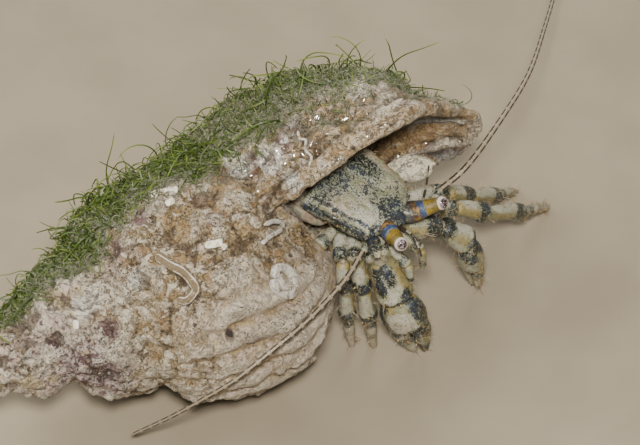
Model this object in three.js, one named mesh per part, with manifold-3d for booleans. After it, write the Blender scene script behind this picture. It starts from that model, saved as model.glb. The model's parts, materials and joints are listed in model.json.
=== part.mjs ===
// A hermit crab standing half out of its borrowed shell, at life size.
// Millimetres, +Z up, the floor at z = 0. The crab leans out of the shell's mouth on its
// claws and walking legs; the last whorl of the shell rests on the floor behind it.
import * as THREE from 'three';
import { mergeVertices } from 'three/addons/utils/BufferGeometryUtils.js';
import Module from 'manifold-3d';

const wasm = await Module();
wasm.setup();

const TAU = Math.PI * 2;
const { degToRad, lerp, smoothstep } = THREE.MathUtils;

// ---------------------------------------------------------------- driving dimensions

const JOINT_GAP = 0.12; // clear space between two plates of the crab, and round the crab in its shell
const FEELER_THICKNESS = 0.5;

// The shell: right-handed, tall, its last whorl drooping forward. "Back" counts whorls from the lip.
const SHELL = {
  apex: new THREE.Vector3(-26.1, -21.3, 8.02),
  headingDeg: 28, // of the axis, from the apex to the mouth, seen from above
  riseDeg: 2,
  whorls: 5.25,
  growth: 1.65, // size of a whorl over the one before it
  lipAlong: 33.7, // from the apex to the middle of the mouth
  lipRadius: 10.5,
  innerRadius: 8.35, // one whorl back from the lip
  lipHalfHeight: 8.5,
  innerHalfHeight: 6.8,
  droop: 1.8,
  lipDeg: 10, // where the lip stands round the axis, from straight up towards the crab
  lipSkewDeg: 9, // the hind end of the lip runs ahead of its front end
  skewFade: 0.35,
  canalPinch: 3.9,
  squareness: 0.72, // of the outer side; 1 is an ellipse
  wall: 1.1,
};

// The crust of lime and weed that fills the seams of the spire, swollen on its far side.
const CRUST = { start: 0.9, end: 27, radius: 8.9, swell: 0.15, swellDeg: -75, rings: 14, sides: 20 };

// The mat of green weed along the far side of the shell.
const WEED = { fromDeg: -112, toDeg: -42, from: 3.5, to: 38.5, thickness: 1.15, gap: 0.35 };

// Tubes of lime built by worms on the shell: [whorls back, angle on the whorl] along each tube.
const WORM_TUBES = [
  { radius: 0.4, path: [[0.96, -0.61], [0.93, -0.46], [0.907, -0.38], [0.893, -0.5], [0.9, -0.63]] },
  { radius: 0.4, path: [[0.9, 0.35], [0.877, 0.5], [0.855, 0.42], [0.856, 0.26], [0.88, 0.16], [0.9, 0.24]] },
];

// The crab's own frame: origin at the rostrum's tip, x forward, y to its left, z up.
const CRAB = { origin: new THREE.Vector3(5.55, -10.36, 12.3), headingDeg: -34, noseDownDeg: 14, rollDeg: 4 };

// Body parts, measured on the body itself, whose nose is down and whose right side is low.
const MIDLINE = 0.1;
const SHIELD = { length: 6.6, frontWidth: 4.9, width: 6.4, thickness: 1.6, arch: 0.45 };
const THORAX = { from: -0.7, to: -6.4, drop: 1.0, depth: 2.9, frontWidth: 3.2, width: 4.8 };
const EYE = { thickness: 0.9, cornea: 1.06, stalk: 1.85 };
const EYES = {
  right: { root: [-0.95, -0.75, -0.3], yaw: -27, pitch: 12 },
  left: { root: [-0.2, 1.2, -0.3], yaw: 45, pitch: 16 },
};
const ABDOMEN = { from: 0.12, to: 0.62, fill: 0.62, rings: 8 };

// Limbs, each from its root on the body: [length, yaw, pitch, width, depth] for each segment,
// where yaw turns to the crab's left and pitch is up. Right claw larger, as in its family.
const CLAWS = {
  right: { root: [-2.2, -0.5, -2.5], segments: [
    [1.95, -36, -12, 1.8, 1.8], [3.45, 5, -68, 2.5, 2.2], [3.15, 42, -74, 3.1, 2.4], [3.4, 73, -71, 1.3, 1.3]] },
  left: { root: [-0.9, 1.5, -2.5], segments: [
    [2.85, 52, -18, 1.5, 1.6], [3.0, 46, -49, 1.9, 1.8], [3.4, 93, -77, 2.0, 1.7], [3.45, 132, -73, 0.9, 1.0]] },
};
const LEGS = {
  2: {
    right: { root: [-3.3, -0.9, -2.6], segments: [
      [2.4, -53, 2, 1.2, 1.5], [2.85, 17, -79, 1.25, 1.35], [3.45, 66, -81, 1.2, 1.2], [3.65, 84, -82, 0.9, 0.9]] },
    left: { root: [-2.0, 1.8, -2.6], segments: [
      [5.1, 59, -16, 1.2, 1.5], [3.5, 66, -41, 1.25, 1.35], [5.3, 81, -40, 1.15, 1.2], [4.2, 88, -38, 0.9, 0.9]] },
  },
  3: {
    right: { root: [-4.4, -1.0, -2.5], segments: [
      [2.75, -52, -6, 1.2, 1.4], [2.9, 14, -85, 1.2, 1.3], [3.3, 101, -83, 1.2, 1.2], [3.3, 44, -85, 0.85, 0.85]] },
    left: { root: [-3.0, 2.0, -2.6], segments: [
      [5.4, 63, -13, 1.2, 1.5], [3.1, 74, -45, 1.2, 1.3], [5.2, 90, -43, 1.1, 1.15], [4.3, 96, -41, 0.85, 0.85]] },
  },
};
// The short hind legs, which hold the shell from inside.
const HOLDERS = {
  right: { root: [-4.3, -1.9, -1.7], segments: [[1.7, -95, -8, 1.0, 1.0], [1.3, -140, -40, 0.8, 0.8]] },
  left: { root: [-5.3, 1.9, -1.6], segments: [[2.3, 110, 10, 1.0, 1.0], [1.8, 140, 5, 0.8, 0.8]] },
};
const MOUTH_LIMBS = {
  right: { root: [-0.75, -0.5, -2.4], segments: [[1.9, -5, -25, 0.8, 0.8], [1.7, 15, -84, 0.65, 0.65]] },
  left: { root: [-0.75, 0.7, -2.4], segments: [[1.9, 8, -25, 0.8, 0.8], [1.7, -8, -84, 0.65, 0.65]] },
};
const ANTENNA_STALKS = {
  right: { root: [-1.0, -0.9, -1.35], segments: [[0.9, -111, 4, 0.95, 0.95], [1.3, -90, 16, 0.75, 0.75]] },
  left: { root: [-0.35, 1.5, -1.2], segments: [[1.95, 68, 9, 0.95, 0.95], [1.1, 88, 45, 0.75, 0.75]] },
};
// Feelers, as [length, yaw, pitch] along a smooth line.
const ANTENNAE = {
  right: [[2.85, -81, 2], [3.85, -93, -3], [3.55, -104, -10], [3.0, -121, -32], [2.9, -149, -46], [3.65, -157, -48], [3.9, -156, -44]],
  left: [[2.45, 65, 30], [4.75, 94, 0], [5.9, 102, -12], [7.1, 111, -18], [6.3, 113, -19], [5.4, 117, -22]],
};
const ANTENNULES = {
  right: { root: [-0.35, 0.15, -0.75], line: [[1.3, -14, 8], [1.1, -25, -35], [1.0, -10, -75]] },
  left: { root: [-0.2, 0.95, -0.75], line: [[1.2, 83, 12], [1.6, 65, 74], [2.1, 100, 78]] },
};

// ---------------------------------------------------------------- solids

// A closed body through rings of points, each end closed by a fan.
function loft(rings) {
  const sides = rings[0].length;
  const positions = rings.flat().flatMap((point) => point.toArray());
  const index = [];
  for (let i = 0; i + 1 < rings.length; i += 1) {
    for (let j = 0; j < sides; j += 1) {
      const a = i * sides + j;
      const b = i * sides + (j + 1) % sides;
      index.push(a, b, a + sides, b, b + sides, a + sides);
    }
  }
  for (const end of [0, rings.length - 1]) {
    const centre = new THREE.Vector3();
    rings[end].forEach((point) => centre.addScaledVector(point, 1 / sides));
    const middle = positions.length / 3;
    positions.push(...centre.toArray());
    for (let j = 0; j < sides; j += 1) {
      const a = end * sides + j;
      const b = end * sides + (j + 1) % sides;
      index.push(...(end === 0 ? [middle, b, a] : [middle, a, b]));
    }
  }
  const geometry = new THREE.BufferGeometry();
  geometry.setAttribute('position', new THREE.Float32BufferAttribute(positions, 3));
  geometry.setIndex(index);
  return solidOf(geometry);
}

// A three.js geometry as a solid, turned right side out.
function solidOf(geometry) {
  const plain = geometry.clone();
  plain.deleteAttribute('normal');
  plain.deleteAttribute('uv');
  const merged = mergeVertices(plain, 1e-4);
  const triVerts = new Uint32Array(merged.index.array);
  const vertProperties = merged.attributes.position.array;
  const solid = new wasm.Manifold(new wasm.Mesh({ numProp: 3, vertProperties, triVerts }));
  if (solid.volume() > 0) return solid;
  for (let i = 0; i < triVerts.length; i += 3) {
    [triVerts[i + 1], triVerts[i + 2]] = [triVerts[i + 2], triVerts[i + 1]];
  }
  return new wasm.Manifold(new wasm.Mesh({ numProp: 3, vertProperties, triVerts }));
}

function geometryOf(solid) {
  const mesh = solid.getMesh();
  const positions = new Float32Array(mesh.numVert * 3);
  for (let i = 0; i < mesh.numVert; i += 1) {
    positions.set(mesh.vertProperties.subarray(i * mesh.numProp, i * mesh.numProp + 3), i * 3);
  }
  const geometry = new THREE.BufferGeometry();
  geometry.setAttribute('position', new THREE.BufferAttribute(positions, 3));
  geometry.setIndex(new THREE.BufferAttribute(mesh.triVerts, 1));
  return geometry;
}

// The largest body of a solid that a cut has left in several.
function largest(solid) {
  return solid.decompose().sort((a, b) => b.volume() - a.volume())[0];
}

const FLOOR = solidOf(new THREE.BoxGeometry(200, 200, 20).translate(0, 0, -10));

// ---------------------------------------------------------------- shell

const shellAxis = new THREE.Vector3(
  Math.cos(degToRad(SHELL.riseDeg)) * Math.cos(degToRad(SHELL.headingDeg)),
  Math.cos(degToRad(SHELL.riseDeg)) * Math.sin(degToRad(SHELL.headingDeg)),
  Math.sin(degToRad(SHELL.riseDeg)));
const shellSide = new THREE.Vector3(shellAxis.y, -shellAxis.x, 0).normalize();
const shellUp = new THREE.Vector3().crossVectors(shellSide, shellAxis).normalize();

// A point by its distance from the apex along the axis, from the axis, and its turn round it.
function aboutAxis(along, radius, angle) {
  return SHELL.apex.clone()
    .addScaledVector(shellAxis, along)
    .addScaledVector(shellUp, radius * Math.cos(angle))
    .addScaledVector(shellSide, radius * Math.sin(angle));
}

// Where the whorl's cross-section lies and how large it is, so many whorls back from the lip.
function whorlAt(back) {
  const shrink = SHELL.growth ** -Math.max(0, back - 1);
  const late = Math.min(1, back);
  return {
    along: SHELL.lipAlong * SHELL.growth ** -back - SHELL.droop * Math.sin(Math.PI * late) * shrink,
    radius: lerp(SHELL.lipRadius, SHELL.innerRadius, late) * shrink,
    halfHeight: lerp(SHELL.lipHalfHeight, SHELL.innerHalfHeight, late) * shrink,
    scale: SHELL.growth ** -back,
  };
}

function power(value, exponent) {
  return Math.sign(value) * Math.abs(value) ** exponent;
}

// A point of the whorl's skin: phi 0 faces away from the axis, a quarter turn faces the front end.
function whorlPoint(back, phi, grow) {
  const whorl = whorlAt(back);
  const out = Math.cos(phi);
  const front = Math.sin(phi);
  const middle = whorl.radius / 2;
  const half = middle - 0.15 * whorl.scale;
  const pinch = SHELL.canalPinch * whorl.scale * smoothstep(front, 0.1, 1) * (0.7 + 0.3 * Math.abs(out));
  const across = out > 0 ? power(out, SHELL.squareness) : out;
  const radius = Math.max(0.02, middle + half * across - pinch + grow * out);
  const along = whorl.along + (whorl.halfHeight + grow) * power(front, 0.9);
  const skew = SHELL.lipSkewDeg * front * Math.max(0, 1 - back / SHELL.skewFade);
  return aboutAxis(along, radius, degToRad(SHELL.lipDeg - skew) - back * TAU);
}

// The whorls from one place to another as one solid, joined from short lengths that can't cross themselves.
function whorls(from, to, grow, perWhorl = 16, sides = 18) {
  const steps = Math.round((from - to) * perWhorl);
  const ring = (i) => Array.from({ length: sides }, (_, j) =>
    whorlPoint(lerp(from, to, i / steps), j / sides * TAU, grow));
  const lengths = [];
  const stepsPerLength = 4;
  for (let i = 0; i < steps; i += stepsPerLength) {
    const last = Math.min(steps, i + stepsPerLength + 1);
    lengths.push(loft(Array.from({ length: last - i + 1 }, (_, k) => ring(i + k))));
  }
  return wasm.Manifold.union(lengths);
}

// All the whorls down to one place; the small ones of the spire need fewer sides.
function outerWhorls(to, grow) {
  return whorls(SHELL.whorls, 2, grow, 12, 10).add(whorls(2.0625, to, grow, 16, 16));
}

function crust(grow) {
  return loft(Array.from({ length: CRUST.rings + 1 }, (_, i) => {
    const part = lerp(CRUST.start / CRUST.end, 1, i / CRUST.rings);
    const taper = 1 - 0.55 * smoothstep(part, 0.86, 1);
    const radius = CRUST.radius * part ** 0.82 * taper + grow;
    return Array.from({ length: CRUST.sides }, (_, j) => {
      const angle = j / CRUST.sides * TAU;
      const swell = 1 + CRUST.swell * Math.cos(angle - degToRad(CRUST.swellDeg)) * part;
      return aboutAxis(CRUST.end * part, radius * swell, angle);
    });
  }));
}

function wormTube({ radius, path }) {
  const points = path.map(([back, phi]) => whorlPoint(back, phi, radius * 0.6));
  const curve = new THREE.CatmullRomCurve3(points);
  const circle = new THREE.Shape().absarc(0, 0, radius, 0, TAU);
  return solidOf(new THREE.ExtrudeGeometry(circle, { extrudePath: curve, steps: 9, curveSegments: 3 }));
}

// The whorls and crust as one solid, and the passage that winds up inside them. Each length of
// passage stops at the outside of the whorls before it, which are its inner wall.
const PASSAGE = [
  { from: 0.75, to: -0.0625, before: 0.75 },
  { from: 1.5, to: 0.6875, before: 1.4375 },
  { from: 2.1875, to: 1.4375, before: 2.125 },
];

function makeShell(grow) {
  const outside = outerWhorls(grow > 0 ? -0.02 : 0, grow).add(crust(grow));
  const passage = PASSAGE.map(({ from, to, before }, i) => {
    const inner = outerWhorls(before, grow);
    return whorls(from, to, -SHELL.wall - grow, 12, 12).subtract(i === 0 ? inner.add(crust(grow)) : inner);
  });
  return outside.subtract(wasm.Manifold.union(passage));
}

const shellSolid = wasm.Manifold.union([makeShell(0), ...WORM_TUBES.map(wormTube)]).subtract(FLOOR);
const shellRoom = makeShell(JOINT_GAP);

function weedMat() {
  const grown = wasm.Manifold.union([
    whorls(3, 0.04, WEED.thickness, 12, 14), crust(WEED.thickness)]);
  const far = 40;
  const wedge = loft([WEED.from, WEED.to].map((along) => [
    aboutAxis(along, 0.1, degToRad((WEED.fromDeg + WEED.toDeg) / 2)),
    aboutAxis(along, far, degToRad(WEED.fromDeg)),
    aboutAxis(along, far, degToRad((WEED.fromDeg + WEED.toDeg) / 2)),
    aboutAxis(along, far, degToRad(WEED.toDeg)),
  ]));
  const clear = outerWhorls(-0.05, WEED.gap).add(crust(WEED.gap));
  return largest(largest(grown.intersect(wedge).subtract(clear)).simplify(0.24));
}

// ---------------------------------------------------------------- crab

const forward = new THREE.Vector3(Math.cos(degToRad(CRAB.headingDeg)), Math.sin(degToRad(CRAB.headingDeg)), 0);
const leftward = new THREE.Vector3(-forward.y, forward.x, 0);
const skyward = new THREE.Vector3(0, 0, 1);

// A point or a direction given in the crab's level frame.
function crabVector(x, y, z) {
  return new THREE.Vector3().addScaledVector(forward, x).addScaledVector(leftward, y).addScaledVector(skyward, z);
}
function crabPoint(x, y, z) {
  return crabVector(x, y, z).add(CRAB.origin);
}

// The same on the body, whose nose is down and whose right side is low.
const bodyTilt = new THREE.Euler(degToRad(CRAB.rollDeg), degToRad(CRAB.noseDownDeg), 0, 'ZYX');
function bodyPoint(x, y, z) {
  return crabPoint(...new THREE.Vector3(x, y, z).applyEuler(bodyTilt).toArray());
}

// A direction in the crab's level frame: yaw to its left, pitch up.
function heading(yawDeg, pitchDeg) {
  const yaw = degToRad(yawDeg);
  const pitch = degToRad(pitchDeg);
  return crabVector(Math.cos(pitch) * Math.cos(yaw), Math.cos(pitch) * Math.sin(yaw), Math.sin(pitch));
}

// Two axes across a direction; the first leans towards the given one.
function across(direction, lean) {
  const high = lean.clone().addScaledVector(direction, -lean.dot(direction)).normalize();
  return [high, new THREE.Vector3().crossVectors(direction, high)];
}

// A ring round a centre, of half sizes high and wide.
function ringAt(centre, high, wide, halfHigh, halfWide, sides) {
  return Array.from({ length: sides }, (_, j) => {
    const angle = (j + 0.5) / sides * TAU;
    return centre.clone()
      .addScaledVector(high, Math.cos(angle) * halfHigh)
      .addScaledVector(wide, Math.sin(angle) * halfWide);
  });
}

const root = new THREE.Group();
root.name = 'hermit_crab';
const MATERIALS = {
  shell: new THREE.MeshStandardMaterial({ name: 'worn_shell', color: 0xa8927a, roughness: 0.85 }),
  weed: new THREE.MeshStandardMaterial({ name: 'green_weed', color: 0x4a6a24, roughness: 0.9 }),
  plate: new THREE.MeshStandardMaterial({ name: 'speckled_plate', color: 0xb9b79c, roughness: 0.5 }),
  skin: new THREE.MeshStandardMaterial({ name: 'soft_skin', color: 0xb58a72, roughness: 0.6 }),
  stalk: new THREE.MeshStandardMaterial({ name: 'eyestalk', color: 0xc77a24, roughness: 0.4 }),
  cornea: new THREE.MeshStandardMaterial({ name: 'cornea', color: 0xe8e0d0, roughness: 0.15 }),
  feeler: new THREE.MeshStandardMaterial({ name: 'feeler', color: 0xc9b79a, roughness: 0.5 }),
};

// Adds a piece, cut clear of the floor and of every piece before it. Its build function takes how much
// larger all round to make it.
const room = [];
function addNode(name, build, material) {
  const solid = build(0);
  const box = solid.boundingBox();
  const near = room.filter((other) => {
    const { min, max } = other.boundingBox();
    return [0, 1, 2].every((i) => min[i] < box.max[i] && max[i] > box.min[i]);
  });
  const cut = near.length ? solid.subtract(wasm.Manifold.union(near)) : solid;
  const body = largest(cut.subtract(FLOOR)).simplify(0.07);
  const mesh = new THREE.Mesh(geometryOf(body), MATERIALS[material]);
  mesh.name = name;
  root.add(mesh);
  room.push(build(JOINT_GAP));
}

// ---- the shell and its weed

addNode('shell', (grow) => (grow > 0 ? shellRoom : shellSolid.simplify(0.19)), 'shell');
const weed = weedMat();
addNode('weed_mat', () => weed, 'weed');

// ---- the body

const BODY_SIDES = 12;

// A ring across the body, of its own width, arched above and flatter below.
function bodyRing(x, y, top, width, thickness, grow) {
  return Array.from({ length: BODY_SIDES }, (_, j) => {
    const angle = (j + 0.5) / BODY_SIDES * TAU;
    const wide = power(Math.sin(angle), 0.8) * (width / 2 + grow);
    const high = power(Math.cos(angle), 0.9) * (thickness / 2 + grow);
    return bodyPoint(x, y + wide, top - thickness / 2 + high);
  });
}

function shield(grow) {
  const { length, frontWidth, width, thickness, arch } = SHIELD;
  const stations = [
    [0.1, 0.16, 0.35], [-0.45, 0.5, 0.7], [-1.15, 0.86, 0.9], [-1.75, 1, 1], [-length * 0.55, 1, 1.05], [-length * 0.85, 1, 1], [-length, 0.9, 0.85]];
  return loft(stations.map(([x, fill, deep], i) => {
    const end = i === 0 ? grow : i === stations.length - 1 ? -grow : 0;
    const full = lerp(frontWidth, width, Math.min(1, -x / length * 1.3));
    const top = arch * Math.sin(Math.PI * Math.min(1, Math.max(0, -x / length)));
    return bodyRing(x + end, MIDLINE, top, full * fill, thickness * deep, grow);
  }));
}

function thorax(grow) {
  const { from, to, drop, depth, frontWidth, width } = THORAX;
  return loft([0, 0.12, 0.45, 0.8, 1].map((part, i) => {
    const fill = [0.7, 1, 1, 1, 0.85][i];
    const end = i === 0 ? grow : i === 4 ? -grow : 0;
    return bodyRing(lerp(from, to, part) + end, MIDLINE, -drop, lerp(frontWidth, width, part) * fill, depth * fill, grow);
  }));
}

// A ring across the inside of the shell's whorl, filling part of it.
function whorlRing(back, fill, grow) {
  const whorl = whorlAt(back);
  const middle = whorl.radius / 2 + 0.5 * SHELL.wall;
  const half = (whorl.radius / 2 - 1.3 * SHELL.wall) * fill + grow;
  const angle = degToRad(SHELL.lipDeg) - back * TAU;
  return Array.from({ length: BODY_SIDES }, (_, j) => {
    const turn = (j + 0.5) / BODY_SIDES * TAU;
    const along = whorl.along - 0.12 * whorl.halfHeight + half * 1.25 * Math.cos(turn);
    return aboutAxis(along, middle + half * Math.sin(turn), angle);
  });
}

function hull(points) {
  return wasm.Manifold.hull(points.map((point) => point.toArray()));
}

function rearCarapace(grow) {
  const rear = bodyRing(-SHIELD.length - 0.1, MIDLINE, -0.1, SHIELD.width * 0.8, 3.6, grow);
  return hull([...rear, ...whorlRing(ABDOMEN.from - 0.02, 0.82, grow)]);
}

function abdomen(grow) {
  const { from, to, fill, rings } = ABDOMEN;
  return loft(Array.from({ length: rings }, (_, i) => {
    const part = i / (rings - 1);
    const taper = i === 0 ? 0.92 : i === rings - 1 ? 0.35 : 1;
    return whorlRing(lerp(from, to, part), fill * taper, grow);
  }));
}

addNode('shield', shield, 'plate');
addNode('thorax', thorax, 'skin');
addNode('rear_carapace', rearCarapace, 'skin');
addNode('abdomen', abdomen, 'skin');

// ---- limbs

// Profiles of a segment: [part of its length, part of its width].
const PROFILES = {
  coxa: [[-0.04, 0.55], [0.12, 0.86], [0.55, 0.98], [0.88, 1], [1.02, 0.66]],
  link: [[-0.05, 0.5], [0.08, 0.78], [0.5, 0.92], [0.85, 1.06], [1.03, 0.72]],
  hand: [[-0.05, 0.4], [0.1, 0.74], [0.4, 1], [0.75, 1], [1, 0.84]],
  toe: [[-0.05, 0.55], [0.1, 0.92], [0.45, 0.86], [0.8, 0.66], [1.03, 0.56]],
};
const LIMB_SIDES = 7;

function segment(start, direction, lean, [length, , , width, depth], profile, grow) {
  const [high, wide] = across(direction, lean);
  const stations = PROFILES[profile];
  return loft(stations.map(([part, fill], i) => {
    const end = i === 0 ? -grow : i === stations.length - 1 ? grow : 0;
    const centre = start.clone().addScaledVector(direction, part * length + end);
    return ringAt(centre, high, wide, depth / 2 * fill + grow, width / 2 * fill + grow, LIMB_SIDES);
  }));
}

// A claw's palm with its fixed finger, and its moving finger beside it, which close on each other.
function chela(part, start, direction, lean, palm, finger, grow) {
  const [, wide] = across(direction, lean);
  const [length, , , width, depth] = palm;
  const end = start.clone().addScaledVector(direction, length * 0.9);
  const sideways = part === 'palm' ? -0.27 : 0.27;
  const tipward = direction.clone().multiplyScalar(finger[0]).addScaledVector(wide, -sideways * width * 0.6);
  const fingerSizes = [tipward.length(), 0, 0, width * 0.42, depth * 0.52];
  const digit = segment(end.addScaledVector(wide, sideways * width), tipward.normalize(), lean, fingerSizes, 'toe', grow);
  return part === 'palm' ? segment(start, direction, lean, palm, 'hand', grow).add(digit) : digit;
}

// The joints of a limb: where each segment starts and which way it goes.
function jointsOf({ root, segments }) {
  const start = crabPoint(...root);
  return segments.map(([length, yaw, pitch]) => {
    const joint = { start: start.clone(), direction: heading(yaw, pitch) };
    start.addScaledVector(joint.direction, length);
    return joint;
  });
}

// A whole small limb in one piece.
function joined(limb, lean, grow) {
  const pieces = jointsOf(limb).map(({ start, direction }, i, joints) => {
    const profile = i === joints.length - 1 ? 'toe' : 'link';
    return segment(start, direction, lean, limb.segments[i], profile, grow);
  });
  return wasm.Manifold.union(pieces);
}

function addLimb(name, limb, lean, names, profiles) {
  jointsOf(limb).forEach(({ start, direction }, i) => {
    addNode(`${name}_${names[i]}`,
      (grow) => segment(start, direction, lean, limb.segments[i], profiles[i], grow), 'plate');
  });
}

const OUTWARD = { right: crabVector(0.25, -1, 1), left: crabVector(0.1, 1, 1.2) };
const SIDES = ['right', 'left'];

// ---- eyes

for (const side of SIDES) {
  const start = crabPoint(...EYES[side].root);
  const direction = heading(EYES[side].yaw, EYES[side].pitch);
  const [high, wide] = across(direction, skyward);
  addNode(`eyestalk_${side}`, (grow) => loft([[-0.5, 0.6], [-0.2, 1.1], [0.25, 1.12], [0.6, 0.95], [1, 0.92]].map(([part, fill], i) => {
    const centre = start.clone().addScaledVector(direction, part * EYE.stalk + (i === 0 ? -grow : i === 4 ? grow : 0));
    const half = EYE.thickness / 2 * fill + grow;
    return ringAt(centre, high, wide, half, half, 10);
  })), 'stalk');
  addNode(`cornea_${side}`, (grow) => {
    const ball = new THREE.SphereGeometry(EYE.cornea / 2 + grow, 10, 7);
    const centre = start.clone().addScaledVector(direction, EYE.stalk + 0.32);
    ball.translate(...centre.toArray());
    return solidOf(ball);
  }, 'cornea');
}

// ---- feelers

function feelerLine(start, line) {
  const points = [start.clone()];
  for (const [length, yaw, pitch] of line) {
    points.push(points.at(-1).clone().addScaledVector(heading(yaw, pitch), length));
  }
  return new THREE.CatmullRomCurve3(points);
}

function feeler(start, line, perPiece, grow) {
  const curve = feelerLine(start, line);
  const steps = line.length * perPiece;
  const frames = curve.computeFrenetFrames(steps);
  const half = FEELER_THICKNESS / 2 + grow;
  return loft(Array.from({ length: steps + 1 }, (_, i) => {
    const end = i === 0 ? -grow : i === steps ? grow : 0;
    const centre = curve.getPointAt(i / steps).addScaledVector(frames.tangents[i], end);
    return ringAt(centre, frames.normals[i], frames.binormals[i], half, half, 5);
  }));
}

for (const side of SIDES) {
  const stalk = ANTENNA_STALKS[side];
  addNode(`antenna_${side}_stalk`, (grow) => joined(stalk, OUTWARD[side], grow), 'plate');
  const last = jointsOf(stalk).at(-1);
  const tip = last.start.addScaledVector(last.direction, stalk.segments.at(-1)[0] * 0.9);
  addNode(`antenna_${side}_feeler`, (grow) => feeler(tip, ANTENNAE[side], 3, grow), 'feeler');
}
for (const side of SIDES) {
  const { root: base, line } = ANTENNULES[side];
  addNode(`antennule_${side}`, (grow) => feeler(crabPoint(...base), line, 3, grow), 'feeler');
}

// ---- claws and legs

const LEG_NAMES = ['merus', 'carpus', 'propodus', 'dactyl'];
for (const side of SIDES) {
  const { segments } = CLAWS[side];
  addLimb(`claw_${side}`, { ...CLAWS[side], segments: segments.slice(0, 2) }, OUTWARD[side], ['merus', 'carpus'], ['coxa', 'link']);
  const { start, direction } = jointsOf(CLAWS[side])[2];
  for (const part of ['palm', 'finger']) {
    addNode(`claw_${side}_${part}`, (grow) => chela(part, start, direction, OUTWARD[side], segments[2], segments[3], grow), 'plate');
  }
}
for (const pair of [2, 3]) {
  for (const side of SIDES) {
    addLimb(`leg_${pair}_${side}`, LEGS[pair][side], OUTWARD[side], LEG_NAMES, ['coxa', 'link', 'link', 'toe']);
  }
}
for (const side of SIDES) {
  addNode(`leg_4_${side}`, (grow) => joined(HOLDERS[side], OUTWARD[side], grow), 'plate');
  addNode(`mouth_limb_${side}`, (grow) => joined(MOUTH_LIMBS[side], OUTWARD[side], grow), 'plate');
}

// ---------------------------------------------------------------- the part's own frame

// The origin is in the middle of the footprint, on the floor.
const bounds = new THREE.Box3().setFromObject(root);
const middle = bounds.getCenter(new THREE.Vector3());
root.position.set(-middle.x, -middle.y, -bounds.min.z);

export default root;
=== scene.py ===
"""A hermit crab standing half out of its worn and weedy shell, at life size.

Shapes are made in millimetres and turned into metres when a piece is finished. The shell grows by
one spiral rule, the crab's plates by one rule for a limb's segment, and the weed, turf and bristles
by one rule for tufts on a surface.
"""

import itertools
import json
import logging
import math
from dataclasses import dataclass, field
from enum import Enum
from typing import Dict, List, Optional, Sequence, Tuple, Union

import bmesh
import bpy
import numpy as np
from mathutils import Matrix, Vector

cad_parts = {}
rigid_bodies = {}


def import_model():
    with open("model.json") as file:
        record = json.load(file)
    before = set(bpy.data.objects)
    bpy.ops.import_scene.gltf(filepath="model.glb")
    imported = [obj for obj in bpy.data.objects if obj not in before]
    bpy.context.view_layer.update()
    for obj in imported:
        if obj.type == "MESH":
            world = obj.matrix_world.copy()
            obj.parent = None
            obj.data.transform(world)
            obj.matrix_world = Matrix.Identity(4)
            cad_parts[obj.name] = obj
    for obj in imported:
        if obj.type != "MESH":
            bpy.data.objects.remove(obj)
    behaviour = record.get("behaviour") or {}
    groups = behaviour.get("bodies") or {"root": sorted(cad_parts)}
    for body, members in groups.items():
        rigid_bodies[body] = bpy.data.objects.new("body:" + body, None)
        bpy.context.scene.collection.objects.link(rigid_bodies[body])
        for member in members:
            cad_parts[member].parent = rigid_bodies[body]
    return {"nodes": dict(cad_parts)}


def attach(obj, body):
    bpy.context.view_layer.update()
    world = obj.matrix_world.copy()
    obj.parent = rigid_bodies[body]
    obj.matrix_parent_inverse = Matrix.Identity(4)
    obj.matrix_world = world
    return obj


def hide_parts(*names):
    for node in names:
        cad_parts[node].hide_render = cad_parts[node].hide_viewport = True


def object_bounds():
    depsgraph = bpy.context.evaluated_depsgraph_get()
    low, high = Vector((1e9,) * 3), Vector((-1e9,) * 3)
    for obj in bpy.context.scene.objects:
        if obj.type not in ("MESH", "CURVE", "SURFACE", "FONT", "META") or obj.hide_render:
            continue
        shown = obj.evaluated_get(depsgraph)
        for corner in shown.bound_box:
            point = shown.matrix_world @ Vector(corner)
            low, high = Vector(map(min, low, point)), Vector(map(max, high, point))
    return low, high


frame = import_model()
CAD_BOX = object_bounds()

log = logging.getLogger("hermit_crab")
MM = 0.001
TAU = 2.0 * math.pi
BODY = "root"
PATCH = 0.003  # how much of the map one tuft takes
BOX_ROOM = (0.95, 0.95, 0.50)  # how far tufts may stand past the CAD box, in millimetres
SOFT_EDGE = 0.7  # over how many millimetres they bend
FAR = 99.0  # further than anything here, in millimetres
MERGE = 1e-4  # points nearer to each other than this are one point
MAP_EDGE = 0.001  # how near to its edge the map is used
HASH = (73856093, 19349663, 83492791)  # large factors that mix a cell's three numbers into one
CHANCES = 8192  # how many random values the lattice noise draws on, a power of 2
CENTRES = 4096  # how many random centres the scattered cells draw on, a power of 2
SEED_SHIFT = 31.7  # how far apart two seeds look at the lattice
SEED_CYCLE = 17  # after how many seeds that starts again
FINER = 2.03  # how much finer each layer of noise is than the last
TILES = (6, 4)  # columns and rows of the plates' map, one tile for each limb
PLATES_IN_TILE = 4  # each plate has a strip of its limb's tile
TILE_FILL = 0.8  # how much of its strip a plate takes
TILE_MARGIN = 0.1  # how much is left free before it
LEG_BOW = 0.03  # how far a leg's plates bow outwards, as a share of their length

Colour = Tuple[float, float, float, float]
Number = Union[float, "Val"]
Point = Tuple[float, float, float]


def rgb(red: float, green: float, blue: float) -> Colour:
    """A colour, as linear light."""
    return (red, green, blue, 1.0)


# ---------------------------------------------------------------- node trees


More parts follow.
